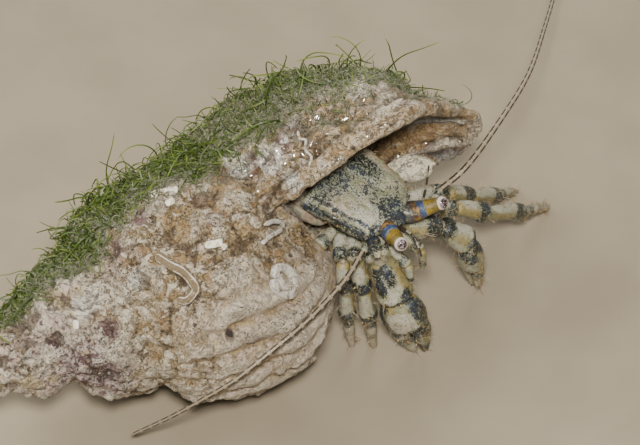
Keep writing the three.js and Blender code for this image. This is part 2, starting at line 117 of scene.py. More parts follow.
class Val:
    """What comes out of a node, with arithmetic that adds the Math nodes it needs."""

    def __init__(self, tree: "Tree", socket: bpy.types.NodeSocket) -> None:
        """Keep the socket and the tree that it belongs to.

        Args:
            tree: The tree.
            socket: The socket.
        """
        self.tree = tree
        self.socket = socket

    def math(self, operation: str, *others: Number) -> "Val":
        """The result of one Math node on this value and the others."""
        return self.tree.math(operation, self, *others)

    def __add__(self, other: Number) -> "Val":
        """The sum."""
        return self.math("ADD", other)

    def __sub__(self, other: Number) -> "Val":
        """The difference."""
        return self.math("SUBTRACT", other)

    def __rsub__(self, other: Number) -> "Val":
        """The difference, the other way round."""
        return self.tree.math("SUBTRACT", other, self)

    def __mul__(self, other: Number) -> "Val":
        """The product."""
        return self.math("MULTIPLY", other)

    def __truediv__(self, other: Number) -> "Val":
        """The quotient."""
        return self.math("DIVIDE", other)

    def __pow__(self, other: Number) -> "Val":
        """The power."""
        return self.math("POWER", other)

    def __neg__(self) -> "Val":
        """The value with its sign turned."""
        return self.math("MULTIPLY", -1.0)

    __radd__ = __add__
    __rmul__ = __mul__

    def signed_power(self, exponent: float) -> "Val":
        """The power of the size, with the value's own sign."""
        return self.math("SIGN") * self.math("ABSOLUTE") ** exponent

    def at_least(self, low: Number) -> "Val":
        """The value, but no less than this."""
        return self.math("MAXIMUM", low)

    def at_most(self, high: Number) -> "Val":
        """The value, but no more than this."""
        return self.math("MINIMUM", high)


class Tree:
    """A node tree that is built by expressions."""

    def __init__(self, tree: bpy.types.NodeTree) -> None:
        """Keep the tree that the nodes go in."""
        self.tree = tree

    def node(self, kind: str, settings: Optional[dict] = None, inputs: Optional[dict] = None,
             output: Union[int, str] = 0) -> Val:
        """Add one node.

        Args:
            kind: The node's type.
            settings: Its own settings, set before its sockets.
            inputs: Values or links, by the socket's name or number.
            output: The output socket that is wanted.

        Returns:
            That output.
        """
        made = self.tree.nodes.new(kind)
        for name, value in (settings or {}).items():
            if name == "stops":
                self._set_stops(made.color_ramp, value)
            else:
                setattr(made, name, value)
        for key, value in (inputs or {}).items():
            if isinstance(value, Val):
                self.tree.links.new(value.socket, made.inputs[key])
            else:
                made.inputs[key].default_value = value
        return Val(self, made.outputs[output])

    @staticmethod
    def _set_stops(ramp: bpy.types.ColorRamp, stops: Sequence[Tuple[float, Colour]]) -> None:
        """Give a colour ramp its stops.

        Args:
            ramp: The colour ramp node.
            stops: Each stop's place and colour, in order.
        """
        while len(ramp.elements) < len(stops):
            ramp.elements.new(1.0)
        for element, (place, colour) in zip(ramp.elements, stops):
            element.position = place
            element.color = colour

    def math(self, operation: str, *values: Number) -> Val:
        """The result of one Math node."""
        return self.node("ShaderNodeMath", {"operation": operation}, dict(enumerate(values)))

    def smooth(self, value: Val, low: float, high: float) -> Val:
        """A soft step from 0 at one value to 1 at another, which may lie either way round.

        Args:
            value: What is stepped.
            low: Where the step is 0.
            high: Where it is 1.

        Returns:
            The step.
        """
        inputs = {"Value": value, "From Min": low, "From Max": high}
        return self.node("ShaderNodeMapRange", {"interpolation_type": "SMOOTHSTEP"}, inputs)

    def noise(self, at: Val, scale: float, detail: float = 3.0, roughness: float = 0.55,
              distortion: float = 0.0) -> Val:
        """Soft noise from 0 to 1 around one half.

        Args:
            at: Where.
            scale: Bumps to a millimetre.
            detail: How many finer layers.
            roughness: How strong they are.
            distortion: How far they are stirred.

        Returns:
            The noise.
        """
        inputs = {"Vector": at, "Scale": scale, "Detail": detail, "Roughness": roughness,
                  "Distortion": distortion}
        return self.node("ShaderNodeTexNoise", None, inputs)

    def cells(self, at: Val, scale: float, feature: str = "F1", output: str = "Distance") -> Val:
        """Distances or colours of scattered cells."""
        return self.node("ShaderNodeTexVoronoi", {"feature": feature}, {"Vector": at, "Scale": scale},
                         output)

    def vector(self, x: Number, y: Number, z: Number) -> Val:
        """Three values as one vector."""
        return self.node("ShaderNodeCombineXYZ", None, {0: x, 1: y, 2: z})

    def stretched(self, at: Val, by: Point) -> Val:
        """A vector with each of its parts scaled."""
        return self.node("ShaderNodeVectorMath", {"operation": "MULTIPLY"}, {0: at, 1: by})

    def blend(self, factor: Number, under: Union[Colour, Val], over: Union[Colour, Val],
              way: str = "MIX") -> Val:
        """One colour over another, by a factor.

        Args:
            factor: How much of the upper colour shows.
            under: The lower colour.
            over: The upper colour.
            way: The blend type.

        Returns:
            The colour.
        """
        settings = {"data_type": "RGBA", "blend_type": way, "clamp_factor": True}
        return self.node("ShaderNodeMix", settings, {0: factor, 6: under, 7: over}, 2)

    def ramp(self, value: Val, stops: Sequence[Tuple[float, Colour]]) -> Val:
        """A colour by a value."""
        return self.node("ShaderNodeValToRGB", {"stops": stops}, {0: value})


class Paint(Tree):
    """A material under the brush."""

    def __init__(self, name: str) -> None:
        """Start an empty material.

        Args:
            name: Its name.
        """
        self.material = bpy.data.materials.new(name)
        self.material.use_nodes = True
        super().__init__(self.material.node_tree)
        self.tree.nodes.clear()

    def place(self) -> Val:
        """The point's own place, in millimetres.

        Returns:
            The place, as a vector.
        """
        metres = self.node("ShaderNodeTexCoord", None, None, "Object")
        return self.stretched(metres, (1 / MM, 1 / MM, 1 / MM))

    def value(self, name: str) -> Val:
        """A number that the mesh carries."""
        return self.node("ShaderNodeAttribute", {"attribute_name": name}, None, "Fac")

    def carried(self, name: str) -> Val:
        """A vector that the mesh carries."""
        return self.node("ShaderNodeAttribute", {"attribute_name": name}, None, "Vector")

    def bump(self, height: Val, millimetres: float, strength: float = 1.0) -> Val:
        """A surface roughened by a height from 0 to 1.

        Args:
            height: The height.
            millimetres: How high 1 is.
            strength: How much of it shows.

        Returns:
            The bumped normal.
        """
        inputs = {"Strength": strength, "Distance": millimetres * MM, "Height": height}
        return self.node("ShaderNodeBump", None, inputs)

    def finish(self, colour: Union[Colour, Val], roughness: Number, normal: Optional[Val] = None,
               **constants: Union[float, Colour, Val]) -> bpy.types.Material:
        """Close the material with its shader.

        Args:
            colour: The base colour.
            roughness: How rough it is.
            normal: A bumped normal, if it has one.
            constants: Other sockets of the shader, with underscores for spaces.

        Returns:
            The material.
        """
        inputs: Dict[str, object] = {"Base Color": colour, "Roughness": roughness}
        if normal is not None:
            inputs["Normal"] = normal
        inputs.update({name.replace("_", " "): value for name, value in constants.items()})
        shader = self.node("ShaderNodeBsdfPrincipled", None, inputs)
        out = self.tree.nodes.new("ShaderNodeOutputMaterial")
        self.tree.links.new(shader.socket, out.inputs["Surface"])
        return self.material


class Growth(Tree):
    """A tree of Geometry Nodes, with named inputs for its sizes."""

    def __init__(self, name: str, floats: Dict[str, float]) -> None:
        """Start the tree with its number inputs and a geometry in and out.

        Args:
            name: The tree's name.
            floats: Its number inputs and what they are unless set.
        """
        self.group = bpy.data.node_groups.new(name, "GeometryNodeTree")
        super().__init__(self.group)
        face = self.group.interface
        face.new_socket("Geometry", in_out="INPUT", socket_type="NodeSocketGeometry")
        face.new_socket("Geometry", in_out="OUTPUT", socket_type="NodeSocketGeometry")
        for title, value in floats.items():
            face.new_socket(title, in_out="INPUT", socket_type="NodeSocketFloat").default_value = value
        face.new_socket("Seed", in_out="INPUT", socket_type="NodeSocketInt")
        face.new_socket("Finish", in_out="INPUT", socket_type="NodeSocketMaterial")
        face.new_socket("Shapes", in_out="INPUT", socket_type="NodeSocketCollection")
        self.entry = self.tree.nodes.new("NodeGroupInput")

    def given(self, title: str) -> Val:
        """One of the tree's inputs."""
        return Val(self, self.entry.outputs[title])

    def random(self, low: float, high: float, salt: int) -> Val:
        """A random number for each element.

        Args:
            low: The least it may be.
            high: The most.
            salt: What sets it apart from the tree's other random numbers.

        Returns:
            The number.
        """
        seed = self.given("Seed") + float(salt)
        inputs = {2: low, 3: high, "Seed": seed}
        return self.node("FunctionNodeRandomValue", {"data_type": "FLOAT"}, inputs, 1)

    def named(self, name: str, kind: str = "FLOAT") -> Val:
        """A value that the mesh carries."""
        return self.node("GeometryNodeInputNamedAttribute", {"data_type": kind}, {"Name": name})

    def store(self, geometry: Val, name: str, value: Val, domain: str = "POINT") -> Val:
        """Let the mesh carry a value under a name.

        Args:
            geometry: The geometry that carries it.
            name: Its name.
            value: The value.
            domain: What carries it: each point or each instance.

        Returns:
            The geometry.
        """
        settings = {"data_type": "FLOAT", "domain": domain}
        return self.node("GeometryNodeStoreNamedAttribute", settings,
                         {0: geometry, "Name": name, "Value": value})

    def close(self, geometry: Val) -> bpy.types.NodeTree:
        """End the tree: what it has made becomes plain mesh with its finish.

        Args:
            geometry: The last geometry in the tree.

        Returns:
            The tree, ready for a modifier.
        """
        real = self.node("GeometryNodeRealizeInstances", None, {0: geometry})
        dressed = self.node("GeometryNodeSetMaterial", None, {0: real, "Material": self.given("Finish")})
        out = self.tree.nodes.new("NodeGroupOutput")
        self.tree.links.new(dressed.socket, out.inputs[0])
        return self.group


# ---------------------------------------------------------------- noise on points


def cell_number(at: np.ndarray, count: int) -> np.ndarray:
    """A number below the count for each cell, the same in every run.

    Args:
        at: Cells, one a row, as whole numbers.
        count: How many numbers there are, a power of 2.

    Returns:
        One number for each cell.
    """
    mixed = (at[:, 0] * HASH[0]) ^ (at[:, 1] * HASH[1]) ^ (at[:, 2] * HASH[2])
    return mixed & (count - 1)


def lattice_noise(points: np.ndarray, scale: float, seed: int) -> np.ndarray:
    """Smooth noise from -1 to 1 on points, with bumps about 1/scale across.

    Args:
        points: Places, one a row.
        scale: Bumps to a millimetre.
        seed: Which of its chance fields.

    Returns:
        One value for each place.
    """
    table = np.random.default_rng(seed).uniform(-1.0, 1.0, CHANCES)
    spot = points * scale + SEED_SHIFT * (seed % SEED_CYCLE)
    cell = np.floor(spot).astype(np.int64)
    part = spot - cell
    part = part * part * (3.0 - 2.0 * part)
    total = np.zeros(len(points))
    for corner in itertools.product((0, 1), repeat=3):
        at = cell + np.array(corner)
        weight = np.prod(np.where(np.array(corner) == 1, part, 1.0 - part), axis=1)
        total += table[cell_number(at, CHANCES)] * weight
    return total


def rough_noise(points: np.ndarray, scale: float, octaves: int, seed: int, fade: float = 0.5) -> np.ndarray:
    """Several layers of noise, each finer and weaker than the last.

    Args:
        points: Places, one a row.
        scale: Bumps to a millimetre in the first layer.
        octaves: How many layers.
        seed: Which of its chance fields.
        fade: How much weaker each layer is than the last.

    Returns:
        One value for each place.
    """
    layers = [fade ** i * lattice_noise(points, scale * FINER ** i, seed + i) for i in range(octaves)]
    return np.sum(layers, axis=0)


def cell_distance(points: np.ndarray, scale: float, seed: int) -> np.ndarray:
    """How far each point is from the nearest of many scattered centres, in cells.

    Args:
        points: Places, one a row.
        scale: Cells to a millimetre.
        seed: Which of its chance fields.

    Returns:
        One distance for each place.
    """
    rng = np.random.default_rng(seed)
    offsets = rng.uniform(0.1, 0.9, (CENTRES, 3))
    spot = points * scale
    cell = np.floor(spot).astype(np.int64)
    nearest = np.full(len(points), FAR)
    for corner in itertools.product((-1, 0, 1), repeat=3):
        at = cell + np.array(corner)
        nearest = np.minimum(nearest, np.linalg.norm(at + offsets[cell_number(at, CENTRES)] - spot, axis=1))
    return nearest


def step(value: np.ndarray, low: float, high: float) -> np.ndarray:
    """A soft step from 0 at one value to 1 at another, which may lie either way round.

    Args:
        value: What is stepped.
        low: Where the step is 0.
        high: Where it is 1.

    Returns:
        The step, from 0 to 1.
    """
    part = np.clip((value - low) / (high - low), 0.0, 1.0)
    return part * part * (3.0 - 2.0 * part)


def hump(value: np.ndarray, middle: float, half: float) -> np.ndarray:
    """1 at the middle, falling softly to 0 at half a width from it."""
    return 1.0 - step(np.abs(value - middle), 0.0, half)


def signed_power(value: np.ndarray, exponent: float) -> np.ndarray:
    """The power of the size, with the value's own sign."""
    return np.sign(value) * np.abs(value) ** exponent


def full_turn(sides: int) -> np.ndarray:
    """Angles right round a circle, the first one 0."""
    return np.linspace(0.0, TAU, sides, endpoint=False)


def off_zero(turn: np.ndarray) -> np.ndarray:
    """How far each angle is from 0, the shorter way round."""
    return np.abs(np.angle(np.exp(1j * turn)))


# ---------------------------------------------------------------- forms


def linked(name: str, data: bpy.types.ID) -> bpy.types.Object:
    """A new object in the scene.

    Args:
        name: Its name.
        data: Its mesh, light or camera.

    Returns:
        The object.
    """
    made = bpy.data.objects.new(name, data)
    bpy.context.scene.collection.objects.link(made)
    return made


def points_of(mesh: bpy.types.Mesh) -> np.ndarray:
    """A mesh's points, one number after the other.

    Args:
        mesh: The mesh.

    Returns:
        Three numbers for each point.
    """
    points = np.zeros(len(mesh.vertices) * 3)
    mesh.vertices.foreach_get("co", points)
    return points


@dataclass
class Form:
    """A mesh in the making: points in millimetres, faces, and values that its points carry."""
    points: np.ndarray
    faces: list
    values: Dict[str, np.ndarray] = field(default_factory=dict)

    @staticmethod
    def joined(forms: Sequence["Form"]) -> "Form":
        """Several forms as one, with the values that all of them carry.

        Args:
            forms: The forms, in order.

        Returns:
            One form with all their points and faces.
        """
        start = 0
        faces: list = []
        for form in forms:
            faces.extend([tuple(int(i) + start for i in face) for face in form.faces])
            start += len(form.points)
        names = set.intersection(*(set(form.values) for form in forms))
        values = {name: np.concatenate([form.values[name] for form in forms]) for name in names}
        return Form(np.concatenate([form.points for form in forms]), faces, values)

    @staticmethod
    def of_mesh(mesh: bpy.types.Mesh, scale: float = 1.0) -> "Form":
        """A plain mesh, read back.

        Args:
            mesh: The mesh.
            scale: What its points are multiplied by.

        Returns:
            Its points and faces as a form.
        """
        points = points_of(mesh)
        faces = [tuple(face.vertices) for face in mesh.polygons]
        return Form(points.reshape(-1, 3) * scale, faces)

    def mesh(self, name: str, scale: float = 1.0) -> bpy.types.Mesh:
        """The form as a Blender mesh.

        Args:
            name: The mesh's name.
            scale: What the points are multiplied by.

        Returns:
            The mesh, with every value as an attribute.
        """
        made = bpy.data.meshes.new(name)
        made.from_pydata((self.points * scale).tolist(), [], self.faces)
        for title, value in self.values.items():
            kind, key = ("FLOAT_VECTOR", "vector") if value.ndim == 2 else ("FLOAT", "value")
            made.attributes.new(title, kind, "POINT").data.foreach_set(key, value.ravel())
        made.update()
        return made

    def normals(self) -> np.ndarray:
        """The surface's direction at each point.

        Returns:
            One unit vector for each point.
        """
        mesh = self.mesh("scratch")
        found = np.zeros(len(self.points) * 3)
        mesh.vertex_normals.foreach_get("vector", found)
        bpy.data.meshes.remove(mesh)
        return found.reshape(-1, 3)

    def outward(self) -> "Form":
        """The same form with doubles merged and every face turned outwards.

        Returns:
            The cleaned form.
        """
        mesh = self.mesh("scratch")
        work = bmesh.new()
        work.from_mesh(mesh)
        bmesh.ops.remove_doubles(work, verts=work.verts, dist=MERGE)
        bmesh.ops.recalc_face_normals(work, faces=work.faces)
        work.to_mesh(mesh)
        work.free()
        turned = Form.of_mesh(mesh)
        for title, value in self.values.items():
            key = "vector" if value.ndim == 2 else "value"
            size = 3 if value.ndim == 2 else 1
            read = np.zeros(len(turned.points) * size)
            mesh.attributes[title].data.foreach_get(key, read)
            turned.values[title] = read.reshape(-1, 3) if size == 3 else read
        bpy.data.meshes.remove(mesh)
        return turned

    def modified(self, *modifiers: Tuple[str, dict]) -> "Form":
        """What is left after modifiers, each a type and its settings.

        Args:
            modifiers: Each modifier's type and its settings.

        Returns:
            The form that the modifiers leave.
        """
        made = linked("scratch", self.mesh("scratch"))
        for kind, settings in modifiers:
            modifier = made.modifiers.new(kind.lower(), kind)
            for name, value in settings.items():
                setattr(modifier, name, value)
        graph = bpy.context.evaluated_depsgraph_get()
        result = bpy.data.meshes.new_from_object(made.evaluated_get(graph), depsgraph=graph)
        form = Form.of_mesh(result)
        bpy.data.meshes.remove(result)
        bpy.data.meshes.remove(made.data)
        return form

    def fused(self, voxel: float, smooth: int = 0) -> "Form":
        """One even closed skin round everything in the form.

        Args:
            voxel: How fine the skin is, in millimetres.
            smooth: How many times it is smoothed.

        Returns:
            The skin.
        """
        steps = [("REMESH", {"mode": "VOXEL", "voxel_size": voxel})]
        if smooth:
            steps.append(("SMOOTH", {"factor": 0.5, "iterations": smooth}))
        return self.modified(*steps)

    def without(self, other: "Form") -> "Form":
        """The form with another cut out of it.

        Args:
            other: The form that is taken away.

        Returns:
            What is left.
        """
        tool = linked("tool", other.mesh("tool"))
        cut = self.modified(("BOOLEAN", {"operation": "DIFFERENCE", "solver": "MANIFOLD", "object": tool}))
        bpy.data.meshes.remove(tool.data)
        return cut

    def pushed(self, amount: np.ndarray) -> "Form":
        """The form with its points moved out along its own surface.

        Args:
            amount: How far out each point moves.

        Returns:
            The moved form.
        """
        points = self.points + self.normals() * amount[:, None]
        return Form(points, self.faces, self.values)


def rings_form(rings: np.ndarray, values: Optional[Dict[str, np.ndarray]] = None) -> Form:
    """A closed form through rings of points, each end closed by a fan.

    Args:
        rings: Points, as rings by sides by three.
        values: Numbers for each of those points.

    Returns:
        The form.
    """
    count, sides = rings.shape[:2]
    points = rings.reshape(-1, 3)
    faces = []
    for i, j in itertools.product(range(count - 1), range(sides)):
        a, b = i * sides + j, i * sides + (j + 1) % sides
        faces.append((a, b, b + sides, a + sides))
    middles = np.stack([rings[0].mean(0), rings[-1].mean(0)])
    last = (count - 1) * sides
    for j in range(sides):
        k = (j + 1) % sides
        faces.append((count * sides, k, j))
        faces.append((count * sides + 1, last + j, last + k))
    carried = {}
    for name, value in (values or {}).items():
        flat = value.reshape(count * sides, *value.shape[2:])
        ends = np.stack([value[0].mean(0), value[-1].mean(0)])
        carried[name] = np.concatenate([flat, ends])
    return Form(np.concatenate([points, middles]), faces, carried)


def shown(form: Form, name: str, finish: bpy.types.Material,
          stands_for: Sequence[str] = ()) -> bpy.types.Object:
    """Turn a form into a finished piece that rides on the crab.

    Args:
        form: The form, in millimetres.
        name: The piece's name.
        finish: Its material.
        stands_for: CAD nodes that it replaces.

    Returns:
        The piece.
    """
    mesh = form.mesh(name, MM)
    mesh.materials.append(finish)
    mesh.polygons.foreach_set("use_smooth", [True] * len(mesh.polygons))
    return piece_of(mesh, name, stands_for)


def piece_of(mesh: bpy.types.Mesh, name: str,
             stands_for: Sequence[str] = ()) -> bpy.types.Object:
    """Put a finished mesh, in metres, into the scene as a piece that rides on the crab.

    Args:
        mesh: The finished mesh.
        name: The piece's name.
        stands_for: The solid nodes that it replaces.

    Returns:
        The new object.
    """
    made = linked(name, mesh)
    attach(made, BODY)
    if stands_for:
        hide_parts(*stands_for)
    log.info("%s: %d faces", name, len(mesh.polygons))
    return made


def keep_in_box(mesh: bpy.types.Mesh) -> None:
    """Bend tufts that would reach far past the CAD model's box back along its sides.

    Args:
        mesh: A coat's mesh, still in millimetres.
    """
    points = points_of(mesh)
    for axis, room in enumerate(BOX_ROOM):
        place = points[axis::3]
        for way, limit in ((-1.0, CAD_BOX[0][axis]), (1.0, CAD_BOX[1][axis])):
            past = place * way - (limit * way / MM + room - SOFT_EDGE)
            bent = SOFT_EDGE * (1.0 - np.exp(-np.maximum(past, 0.0) / SOFT_EDGE))
            place = np.where(past > 0, (place * way - past + bent) * way, place)
        points[axis::3] = place
    mesh.vertices.foreach_set("co", points)


def keep_off_floor(mesh: bpy.types.Mesh, low: float = 0.03) -> None:
    """Lay what would reach under the floor on it.

    Args:
        mesh: A mesh in millimetres.
        low: The least height of a point.
    """
    points = points_of(mesh)
    points[2::3] = np.maximum(points[2::3], low)
    mesh.vertices.foreach_set("co", points)


def grown(group: bpy.types.NodeTree, host: bpy.types.Mesh, inputs: Dict[str, object]) -> bpy.types.Mesh:
    """Run a tree of Geometry Nodes on a mesh.

    Args:
        group: The tree.
        host: What it grows on.
        inputs: Values for its named inputs.

    Returns:
        The plain mesh that it leaves.
    """
    made = linked("host", host)
    modifier = made.modifiers.new("grown", "NODES")
    modifier.node_group = group
    sockets = {item.name: item.identifier for item in group.interface.items_tree if item.in_out == "INPUT"}
    for title, value in inputs.items():
        modifier[sockets[title]] = value
    graph = bpy.context.evaluated_depsgraph_get()
    mesh = bpy.data.meshes.new_from_object(made.evaluated_get(graph), preserve_all_data_layers=True,
                                           depsgraph=graph)
    made.modifiers.clear()
    bpy.data.objects.remove(made)
    return mesh


# ---------------------------------------------------------------- the shell


@dataclass(frozen=True)
class WhorlRule:
    """The spiral that the shell grows by. "Back" counts whorls from the lip; millimetres and degrees."""
    apex: Point = (-22.308, -21.005, 8.02)
    heading: float = 28.0
    rise: float = 2.0
    whorls: float = 5.25
    growth: float = 1.65
    lip_along: float = 33.7
    lip_radius: float = 10.5
    inner_radius: float = 8.35
    lip_half_height: float = 8.5
    inner_half_height: float = 6.8
    droop: float = 1.8
    lip_turn: float = 10.0
    lip_skew: float = 9.0
    skew_fade: float = 0.35
    canal_pinch: float = 3.9
    squareness: float = 0.72
    flatness: float = 0.9
    pinch_from: float = 0.1
    pinch_middle: float = 0.7
    pinch_swing: float = 0.3
    seam_overlap: float = 0.15
    core: float = 0.02
    open_end: float = -0.06

    def axes(self) -> np.ndarray:
        """The shell's own axes, as rows: along it, up, and to its side.

        Returns:
            Three unit vectors, one a row.
        """
        heading, rise = math.radians(self.heading), math.radians(self.rise)
        along = np.array([math.cos(rise) * math.cos(heading), math.cos(rise) * math.sin(heading),
                          math.sin(rise)])
        side = np.array([along[1], -along[0], 0.0])
        side /= np.linalg.norm(side)
        return np.stack([along, np.cross(side, along), side])

    def placed(self, own: np.ndarray) -> np.ndarray:
        """Points given along the axis, up and sideways, put in their place."""
        return own @ self.axes() + np.array(self.apex)

    def own(self, points: np.ndarray) -> np.ndarray:
        """Points as their distances along the axis, up and sideways."""
        return (points - np.array(self.apex)) @ self.axes().T

    def section(self, back: np.ndarray) -> Tuple[np.ndarray, ...]:
        """The whorl's place along the axis, radius, half height and scale, so far back.

        Args:
            back: How many whorls back from the lip.

        Returns:
            The four measures, in millimetres but for the scale.
        """
        shrink = self.growth ** -np.maximum(0.0, back - 1.0)
        late = np.minimum(1.0, back)
        along = self.lip_along * self.growth ** -back - self.droop * np.sin(math.pi * late) * shrink
        radius = (self.lip_radius + (self.inner_radius - self.lip_radius) * late) * shrink
        full_height = self.lip_half_height + (self.inner_half_height - self.lip_half_height) * late
        half_height = full_height * shrink
        return along, radius, half_height, self.growth ** -back

    def pinched(self, front: np.ndarray, out: np.ndarray, scale: np.ndarray) -> np.ndarray:
        """How far the whorl is drawn in towards its front end.

        Args:
            front: The sine of the angle round the section.
            out: The size of its cosine.
            scale: The whorl's scale.

        Returns:
            The measure in millimetres.
        """
        middle = self.pinch_middle + self.pinch_swing * out
        return self.canal_pinch * scale * step(front, self.pinch_from, 1.0) * middle

    def point(self, back: np.ndarray, phi: np.ndarray, grow: Union[float, np.ndarray] = 0.0) -> np.ndarray:
        """Points of the whorl's surface: phi 0 faces away from the axis, a quarter turn the front end.

        Args:
            back: How many whorls back from the lip.
            phi: The angle round the whorl's own section.
            grow: How far outside the whorl's surface.

        Returns:
            The places in the shared frame.
        """
        back, phi = np.broadcast_arrays(np.asarray(back, float), np.asarray(phi, float))
        centre, radius, half_height, scale = self.section(back)
        out, front = np.cos(phi), np.sin(phi)
        middle = radius / 2
        pinch = self.pinched(front, np.abs(out), scale)
        across = np.where(out > 0, signed_power(out, self.squareness), out)
        away = middle + (middle - self.seam_overlap * scale) * across - pinch + grow * out
        away = np.maximum(self.core, away)
        along = centre + (half_height + grow) * signed_power(front, self.flatness)
        skew = self.lip_skew * front * np.maximum(0.0, 1.0 - back / self.skew_fade)
        turn = np.radians(self.lip_turn - skew) - back * TAU
        return self.placed(np.stack([along, away * np.cos(turn), away * np.sin(turn)], axis=-1))

    def find(self, points: np.ndarray) -> Tuple[np.ndarray, np.ndarray, np.ndarray]:
        """How far back each point lies, which way round its whorl, and how far out, 1 being the surface.

        Args:
            points: Places in the shared frame.

        Returns:
            Whorls back, angle and size for each place.
        """
        own = self.own(points)
        radius = np.hypot(own[:, 1], own[:, 2])
        first = ((math.radians(self.lip_turn) - np.arctan2(own[:, 2], own[:, 1])) / TAU) % 1.0
        best = [np.zeros(len(points)), np.zeros(len(points)), np.full(len(points), FAR)]
        for whole in range(-1, int(self.whorls) + 1):
            back = first + whole
            centre, wide, half_height, scale = self.section(np.maximum(back, -0.1))
            front = np.clip(signed_power((own[:, 0] - centre) / half_height, 1 / self.flatness), -3, 3)
            sine = np.clip(front, -1, 1)
            pinch = self.pinched(sine, np.sqrt(1 - sine ** 2), scale)
            out = (radius + pinch - wide / 2) / (wide / 2 - self.seam_overlap * scale)
            out = np.where(out > 0, signed_power(out, 1 / self.squareness), out)
            size = np.where((back < self.open_end) | (back > self.whorls), FAR - 1.0, np.hypot(out, front))
            nearer = size < best[2]
            for kept, new in zip(best, (back, np.arctan2(front, out), size)):
                kept[nearer] = new[nearer]
        return best[0], best[1], best[2]

    def tree(self) -> bpy.types.NodeTree:
        """The same rule in Geometry Nodes: a sheet of points wound into closed whorls.

        Returns:
            The tree, with an input for each measure of the rule.
        """
        sizes = {"From": self.whorls, "To": 0.0, "Grow": 0.0, "Rings": 170.0, "Sides": 49.0,
                 "Growth": self.growth, "Lip along": self.lip_along, "Lip radius": self.lip_radius,
                 "Inner radius": self.inner_radius, "Lip half height": self.lip_half_height,
                 "Inner half height": self.inner_half_height, "Droop": self.droop,
                 "Lip turn": math.radians(self.lip_turn), "Lip skew": math.radians(self.lip_skew),
                 "Canal pinch": self.canal_pinch, "Overlap": self.seam_overlap}
        tree = Growth("whorls", sizes)
        given = tree.given
        grid = tree.node("GeometryNodeMeshGrid", None, {0: 1.0, 1: 1.0, 2: given("Rings"),
                                                        3: given("Sides")})
        place = tree.node("GeometryNodeInputPosition")
        x = tree.node("ShaderNodeSeparateXYZ", None, {0: place}, 0) + 0.5
        y = tree.node("ShaderNodeSeparateXYZ", None, {0: place}, 1) + 0.5
        row = x * (given("Rings") - 1.0)
        inside = row.math("GREATER_THAN", 0.5) * tree.math("LESS_THAN", row, given("Rings") - 1.5)
        part = ((row - 1.0) / (given("Rings") - 3.0)).at_least(0.0).at_most(1.0)
        back = given("From") + (given("To") - given("From")) * part
        phi = y * TAU
        growth = given("Growth")
        shrink = tree.math("POWER", growth, -((back - 1.0).at_least(0.0)))
        scale = tree.math("POWER", growth, -back)
        late = back.at_most(1.0)
        centre = given("Lip along") * scale - given("Droop") * (late * math.pi).math("SINE") * shrink
        radius = (given("Lip radius") + (given("Inner radius") - given("Lip radius")) * late) * shrink
        lip_height = given("Lip half height")
        half_height = (lip_height + (given("Inner half height") - lip_height) * late) * shrink
        out, front = phi.math("COSINE"), phi.math("SINE")
        pinch = given("Canal pinch") * scale * tree.smooth(front, self.pinch_from, 1.0) * (
            out.math("ABSOLUTE") * self.pinch_swing + self.pinch_middle)
        square = out.signed_power(self.squareness)
        outer = out.math("GREATER_THAN", 0.0)
        across = square * outer + out * (1.0 - outer)
        grow = given("Grow")
        ring = (radius / 2.0 - given("Overlap") * scale) * across - pinch + grow * out
        away = (radius / 2.0 + ring * inside).at_least(self.core)
        along = centre + (half_height + grow) * front.signed_power(self.flatness) * inside
        skew = given("Lip skew") * front * (1.0 - back / self.skew_fade).at_least(0.0)
        turn = given("Lip turn") - skew - back * TAU
        spot = tree.vector(along, away * turn.math("COSINE"), away * turn.math("SINE"))
        moved = tree.node("GeometryNodeSetPosition", None, {0: grid, "Position": spot})
        closed = tree.node("GeometryNodeMergeByDistance", None, {0: moved, "Distance": 0.0005})
        return tree.close(closed)


class Mark(Enum):
    """What discolours a spot on the shell; its value is the number that the mesh carries."""
    PLUM = "plum_spot"
    WHITE = "white_spot"
    BROWN = "brown_spot"
    OCHRE = "ochre_spot"


@dataclass(frozen=True)
class Grain:
    """The noises that several layers of the worn shell share."""
    at: Val
    broad: Val
    patch: Val
    other: Val
    grit: Val
    specks: Val
    lines: Val
    spotty: Val

    @staticmethod
    def of(m: Paint) -> "Grain":
        """The noises in one material.

        Args:
            m: The material.

        Returns:
            The noises, broadest first.
        """
        at = m.place()
        flow = m.stretched(m.carried("flow"), (2.2, 0.35, 1.0))
        return Grain(at, broad=m.noise(at, 0.28, 3, 0.5), patch=m.noise(at, 0.9, 7, 0.68, 0.6),
                     other=m.noise(at, 1.3, 7, 0.68, 0.4), grit=m.noise(at, 4.2, 6, 0.72),
                     specks=m.noise(at, 9.0, 3, 0.6), lines=m.noise(flow, 1.0, 5, 0.65, 0.6),
                     spotty=m.noise(at, 2.1, 4, 0.6, 0.3))


